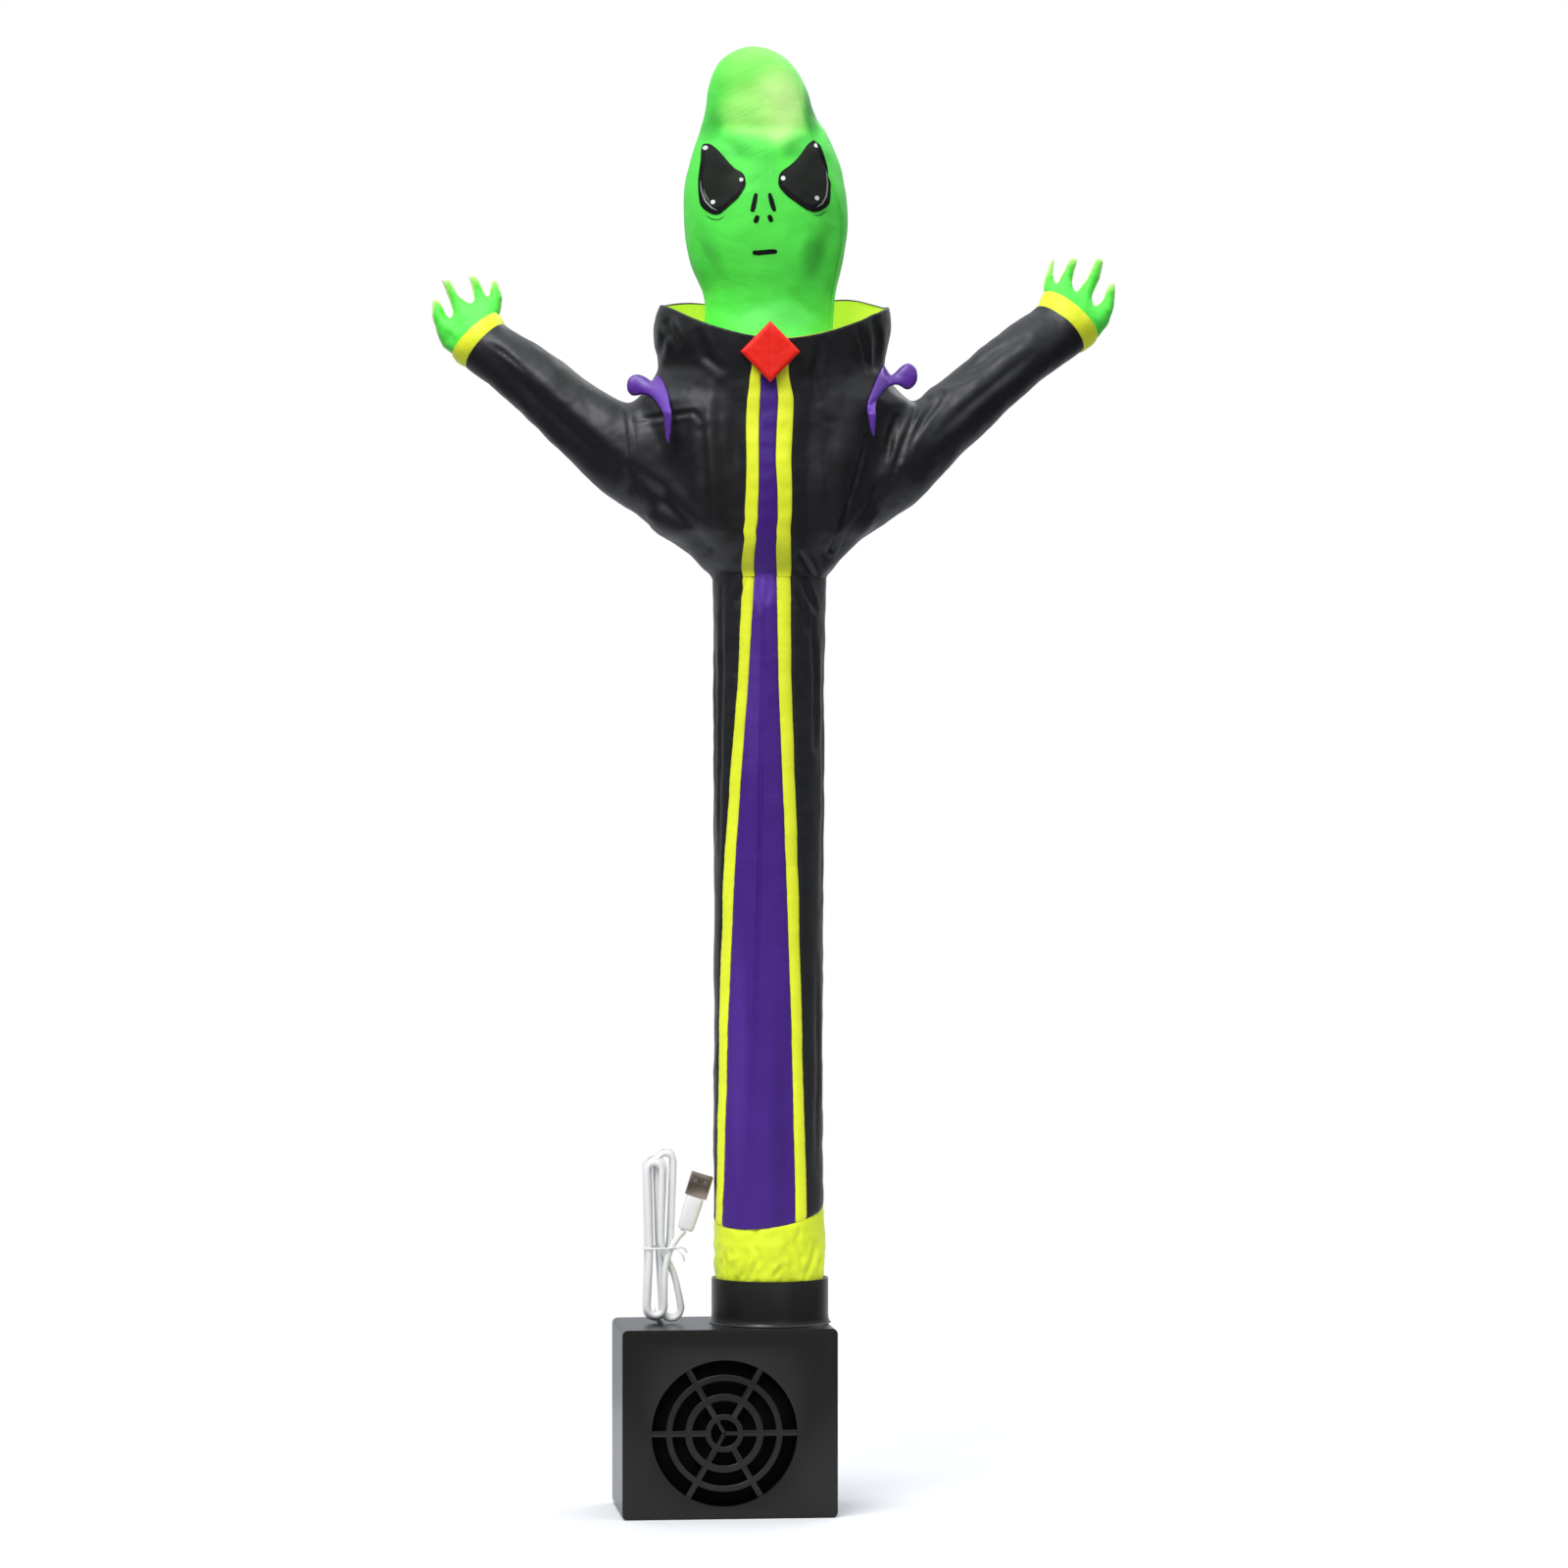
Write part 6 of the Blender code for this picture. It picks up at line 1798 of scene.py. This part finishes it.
def build_usb_grip(white):
    """The plug's moulded grip, rounded where the lead comes in."""
    width, thickness, length = USB_GRIP
    rows = ((0.0, 0.66), (0.015, 0.78), (0.05, 0.86), (0.1, 0.9), (0.3, 0.94), (0.6, 0.98),
            (0.9, 1.0), (0.97, 0.98), (1.0, 0.92))
    x, y = blunt(np.linspace(0, math.tau, 32, endpoint=False), 0.55)
    form = bmesh.new()
    capped_grid(form, [np.stack([x * width / 2 * size, y * thickness / 2 * size,
                                 np.full_like(x, USB_GAP + share * length)], axis=1)
                       for share, size in rows])
    bmesh.ops.transform(form, matrix=usb_place(), verts=form.verts)
    return place_mesh("plug_grip", joined([form], "plug_grip"), white,
                      ("usb_grip",), SHARP_ANGLE)


def build_usb_shell():
    """The plug's folded metal shell with its two windows and its inner tongue."""
    metal = metal_material("plug_metal", PLUG_METAL, 0.3)
    width, thickness, length = USB_SHELL
    low = USB_GAP + USB_GRIP[2] + USB_GAP
    outer = rounded_box(USB_SHELL, (0, 0, low + length / 2), 0.35)
    shell = place_mesh("plug_shell", joined([outer], "plug_shell"), metal,
                       ("usb_shell",))
    cut_away(shell, [rounded_box((width - 0.8, thickness - 0.8, 11.0),
                                 (0, 0, low + length - 4.0), 0.1),
                     *(rounded_box((2.2, 8.0, 2.4), (x, 0, low + length - 4.5), 0.1)
                       for x in (-3.0, 3.0))])
    shell.data.transform(usb_place())
    tongue = rounded_box((width - 1.4, 1.6, 10.0), (0, 0.9, low + length - 5.6), 0.15)
    bmesh.ops.transform(tongue, matrix=usb_place(), verts=tongue.verts)
    pale = plastic_material("plug_tongue", (0.75, 0.75, 0.74), 0.4, 900.0, 0.0001)
    place_mesh("plug_tongue", joined([tongue], "plug_tongue"), pale)
    return shell


def build_tie(white):
    """The thin wire tie round the hank, twisted at its right side."""
    middle, half_width, half_depth = -3.9, 8.9, 5.9
    turn = np.linspace(0, math.tau, 60, endpoint=False)
    x, y = blunt(turn, 0.6)
    ring = [Vector(in_hank(*mark)) for mark in zip(
        middle + half_width * x, TIE_AT + 0.5 * np.sin(turn * 2), half_depth * y)]
    ends = [smooth_line([in_hank(across, TIE_AT + rise, forward)
                         for across, rise, forward in marks], 5) for marks in TIE_ENDS]
    holder = tube_curve("tie_line", [(ring, True), (ends[0], False), (ends[1], False)],
                        TIE_RADIUS, 3)
    mesh = bpy.data.meshes.new_from_object(
        holder.evaluated_get(bpy.context.evaluated_depsgraph_get()))
    bpy.data.objects.remove(holder, do_unlink=True)
    return place_mesh("tie", mesh, white, ("lead_tie",))


# === stage ==============================================================================

def build_stage():
    """Pale floor, white surroundings, soft studio light and the camera."""
    stage = bpy.context.scene.dancer_stage
    pale, shading = new_material("pale_floor", FLOOR_GREY, 0.9, {})
    shading.gloss(shading.add("TexNoise", "Fac", {"Scale": 3.0}), 0.88, 0.94)
    mesh = bpy.data.meshes.new("floor")
    mesh.from_pydata([(-0.6, -0.5, 0), (0.6, -0.5, 0), (0.6, 0.5, 0), (-0.6, 0.5, 0)], [],
                     [(0, 1, 2, 3)])
    mesh.materials.append(pale)
    linked("floor", mesh)
    build_world()
    add_light("key", (-0.9, -1.5, 2.6), 0.5, 1.4, 66.0 * stage.light)
    add_light("front", (0.9, -3.2, 1.2), 0.45, 1.6, 4.0 * stage.light)
    add_light("rim", (1.2, 1.6, 1.9), 0.5, 1.0, 10.0 * stage.light)
    add_camera(stage)


def build_world():
    """White surroundings whose light comes mostly from above and from behind."""
    world = bpy.data.worlds.new("studio")
    bpy.context.scene.world = world
    world.use_nodes = True
    shading = Shading(world.node_tree, "World Output")
    seen = shading.nodes["Background"]
    shading.feed({"Color": (1.0, 1.0, 1.0, 1.0), "Strength": 1.0}, seen)
    up = shading.add("SeparateXYZ", "Z", {"Vector": shading.coordinates("Generated")})
    rise = shading.add("MapRange", "Result", {
        "From Min": 0.0, "From Max": 1.0, "To Min": 0.06, "To Max": 2.1, "Value": up})
    behind = shading.add("MapRange", "Result", {
        "From Min": 0.3, "From Max": 0.9, "To Max": 1.0, "Value": up.node.outputs["Y"]})
    brighter = shading.add("Math", "Value", {0: rise, 1: behind}, operation="MAXIMUM")
    lit = shading.add("Background", "Background", {
        "Color": (0.77, 0.8, 0.86, 1.0), "Strength": brighter})
    shading.feed({"Surface": shading.add("MixShader", "Shader", {
        "Fac": shading.add("LightPath", "Is Camera Ray", {}), 1: lit,
        2: seen.outputs["Background"]})})


def add_light(name, place, aim_height, size, power):
    """A square soft light aimed at a height on the figure's middle line."""
    light = bpy.data.lights.new(name, "AREA")
    light.shape, light.size, light.energy = "SQUARE", size, power
    holder = linked(name, light)
    holder.location = place
    aim = Vector((0.0, 0.0, aim_height)) - Vector(place)
    holder.rotation_euler = aim.to_track_quat("-Z", "Y").to_euler()


def add_camera(stage):
    """A level camera with a long lens, a little to the left of the front."""
    camera = bpy.data.cameras.new("camera")
    camera.sensor_width = 36.0
    camera.lens = camera.sensor_width * stage.distance / stage.width
    holder = linked("camera", camera)
    look = Vector((-math.sin(stage.azimuth), math.cos(stage.azimuth), 0.0))
    across = Vector((look.y, -look.x, 0.0)) * CAMERA_SHIFT
    holder.location = across - look * stage.distance + Vector((0.0, 0.0, stage.height))
    holder.rotation_euler = look.to_track_quat("-Z", "Y").to_euler()
    bpy.context.scene.camera = holder
    bpy.context.scene.view_settings.view_transform = "Standard"


# === operators ==========================================================================

class DancerOperator:
    """Runs one builder and reports a failure as an error."""
    bl_options = {"REGISTER", "UNDO"}
    builders = ()

    def execute(self, context):
        """Build the group's pieces."""
        before = set(bpy.data.objects)
        for builder in self.builders:
            builder()
        if not set(bpy.data.objects) - before:
            raise RuntimeError(f"{self.bl_label}: nothing was made")
        return {"FINISHED"}


class DANCER_OT_head(DancerOperator, bpy.types.Operator):
    """Make the head and its printed face"""
    bl_idname = "dancer.head"
    bl_label = "Head and face"
    builders = (build_head, build_face)


class DANCER_OT_robe(DancerOperator, bpy.types.Operator):
    """Make the robe with its sleeves and collar, and the placket"""
    bl_idname = "dancer.robe"
    bl_label = "Robe"
    builders = (build_robe,)


class DANCER_OT_arms(DancerOperator, bpy.types.Operator):
    """Make the cuffs and hands"""
    bl_idname = "dancer.arms"
    bl_label = "Cuffs and hands"
    builders = (build_cuffs, build_hands)


class DANCER_OT_collar(DancerOperator, bpy.types.Operator):
    """Make the collar's lining, the brooch and the shoulder pieces"""
    bl_idname = "dancer.collar"
    bl_label = "Collar and trims"
    builders = (build_collar, build_brooch, build_shoulder_pieces)


class DANCER_OT_skirt(DancerOperator, bpy.types.Operator):
    """Make the skirt's panels and the hem band"""
    bl_idname = "dancer.skirt"
    bl_label = "Skirt and hem"
    builders = (build_skirt,)


class DANCER_OT_blower(DancerOperator, bpy.types.Operator):
    """Finish the housing and make the front cover, grille and nozzle"""
    bl_idname = "dancer.blower"
    bl_label = "Blower"
    builders = (build_blower,)


class DANCER_OT_lead(DancerOperator, bpy.types.Operator):
    """Make the power lead, its tie and its plug"""
    bl_idname = "dancer.lead"
    bl_label = "Power lead"
    builders = (build_lead,)


class DANCER_OT_stage(DancerOperator, bpy.types.Operator):
    """Make the floor, the lights and the camera"""
    bl_idname = "dancer.stage"
    bl_label = "Stage"
    builders = (build_stage,)


class DANCER_PT_panel(bpy.types.Panel):
    """Settings and builders in the 3D view's sidebar"""
    bl_idname = "DANCER_PT_panel"
    bl_label = "Air Dancer"
    bl_space_type = "VIEW_3D"
    bl_region_type = "UI"
    bl_category = "Air Dancer"

    def draw(self, context):
        """Lay out the settings and the builders in their order."""
        layout = self.layout
        for name, _ in GROUPS:
            box = layout.box()
            group = getattr(context.scene, name)
            for key in group.bl_rna.properties.keys():
                if key not in ("rna_type", "name"):
                    box.prop(group, key)
        for operator in OPERATORS:
            layout.operator(operator.bl_idname)


OPERATORS = (DANCER_OT_stage, DANCER_OT_head, DANCER_OT_robe, DANCER_OT_arms,
             DANCER_OT_collar, DANCER_OT_skirt, DANCER_OT_blower, DANCER_OT_lead)
GROUPS = (
    ("dancer_cloth", DancerClothSettings),
    ("dancer_colours", DancerColourSettings),
    ("dancer_stage", DancerStageSettings),
)


def register():
    """Register the settings, operators and panel."""
    for name, group in GROUPS:
        bpy.utils.register_class(group)
        setattr(bpy.types.Scene, name, bpy.props.PointerProperty(type=group))
    for item in (*OPERATORS, DANCER_PT_panel):
        bpy.utils.register_class(item)


def unregister():
    """Remove what register added."""
    for item in reversed((*OPERATORS, DANCER_PT_panel)):
        bpy.utils.unregister_class(item)
    for name, group in reversed(GROUPS):
        delattr(bpy.types.Scene, name)
        bpy.utils.unregister_class(group)


def main():
    """Register the classes and build everything in order."""
    register()
    bpy.ops.dancer.stage()
    bpy.ops.dancer.head()
    bpy.ops.dancer.robe()
    bpy.ops.dancer.arms()
    bpy.ops.dancer.collar()
    bpy.ops.dancer.skirt()
    bpy.ops.dancer.blower()
    bpy.ops.dancer.lead()


if __name__ == "__main__":
    main()
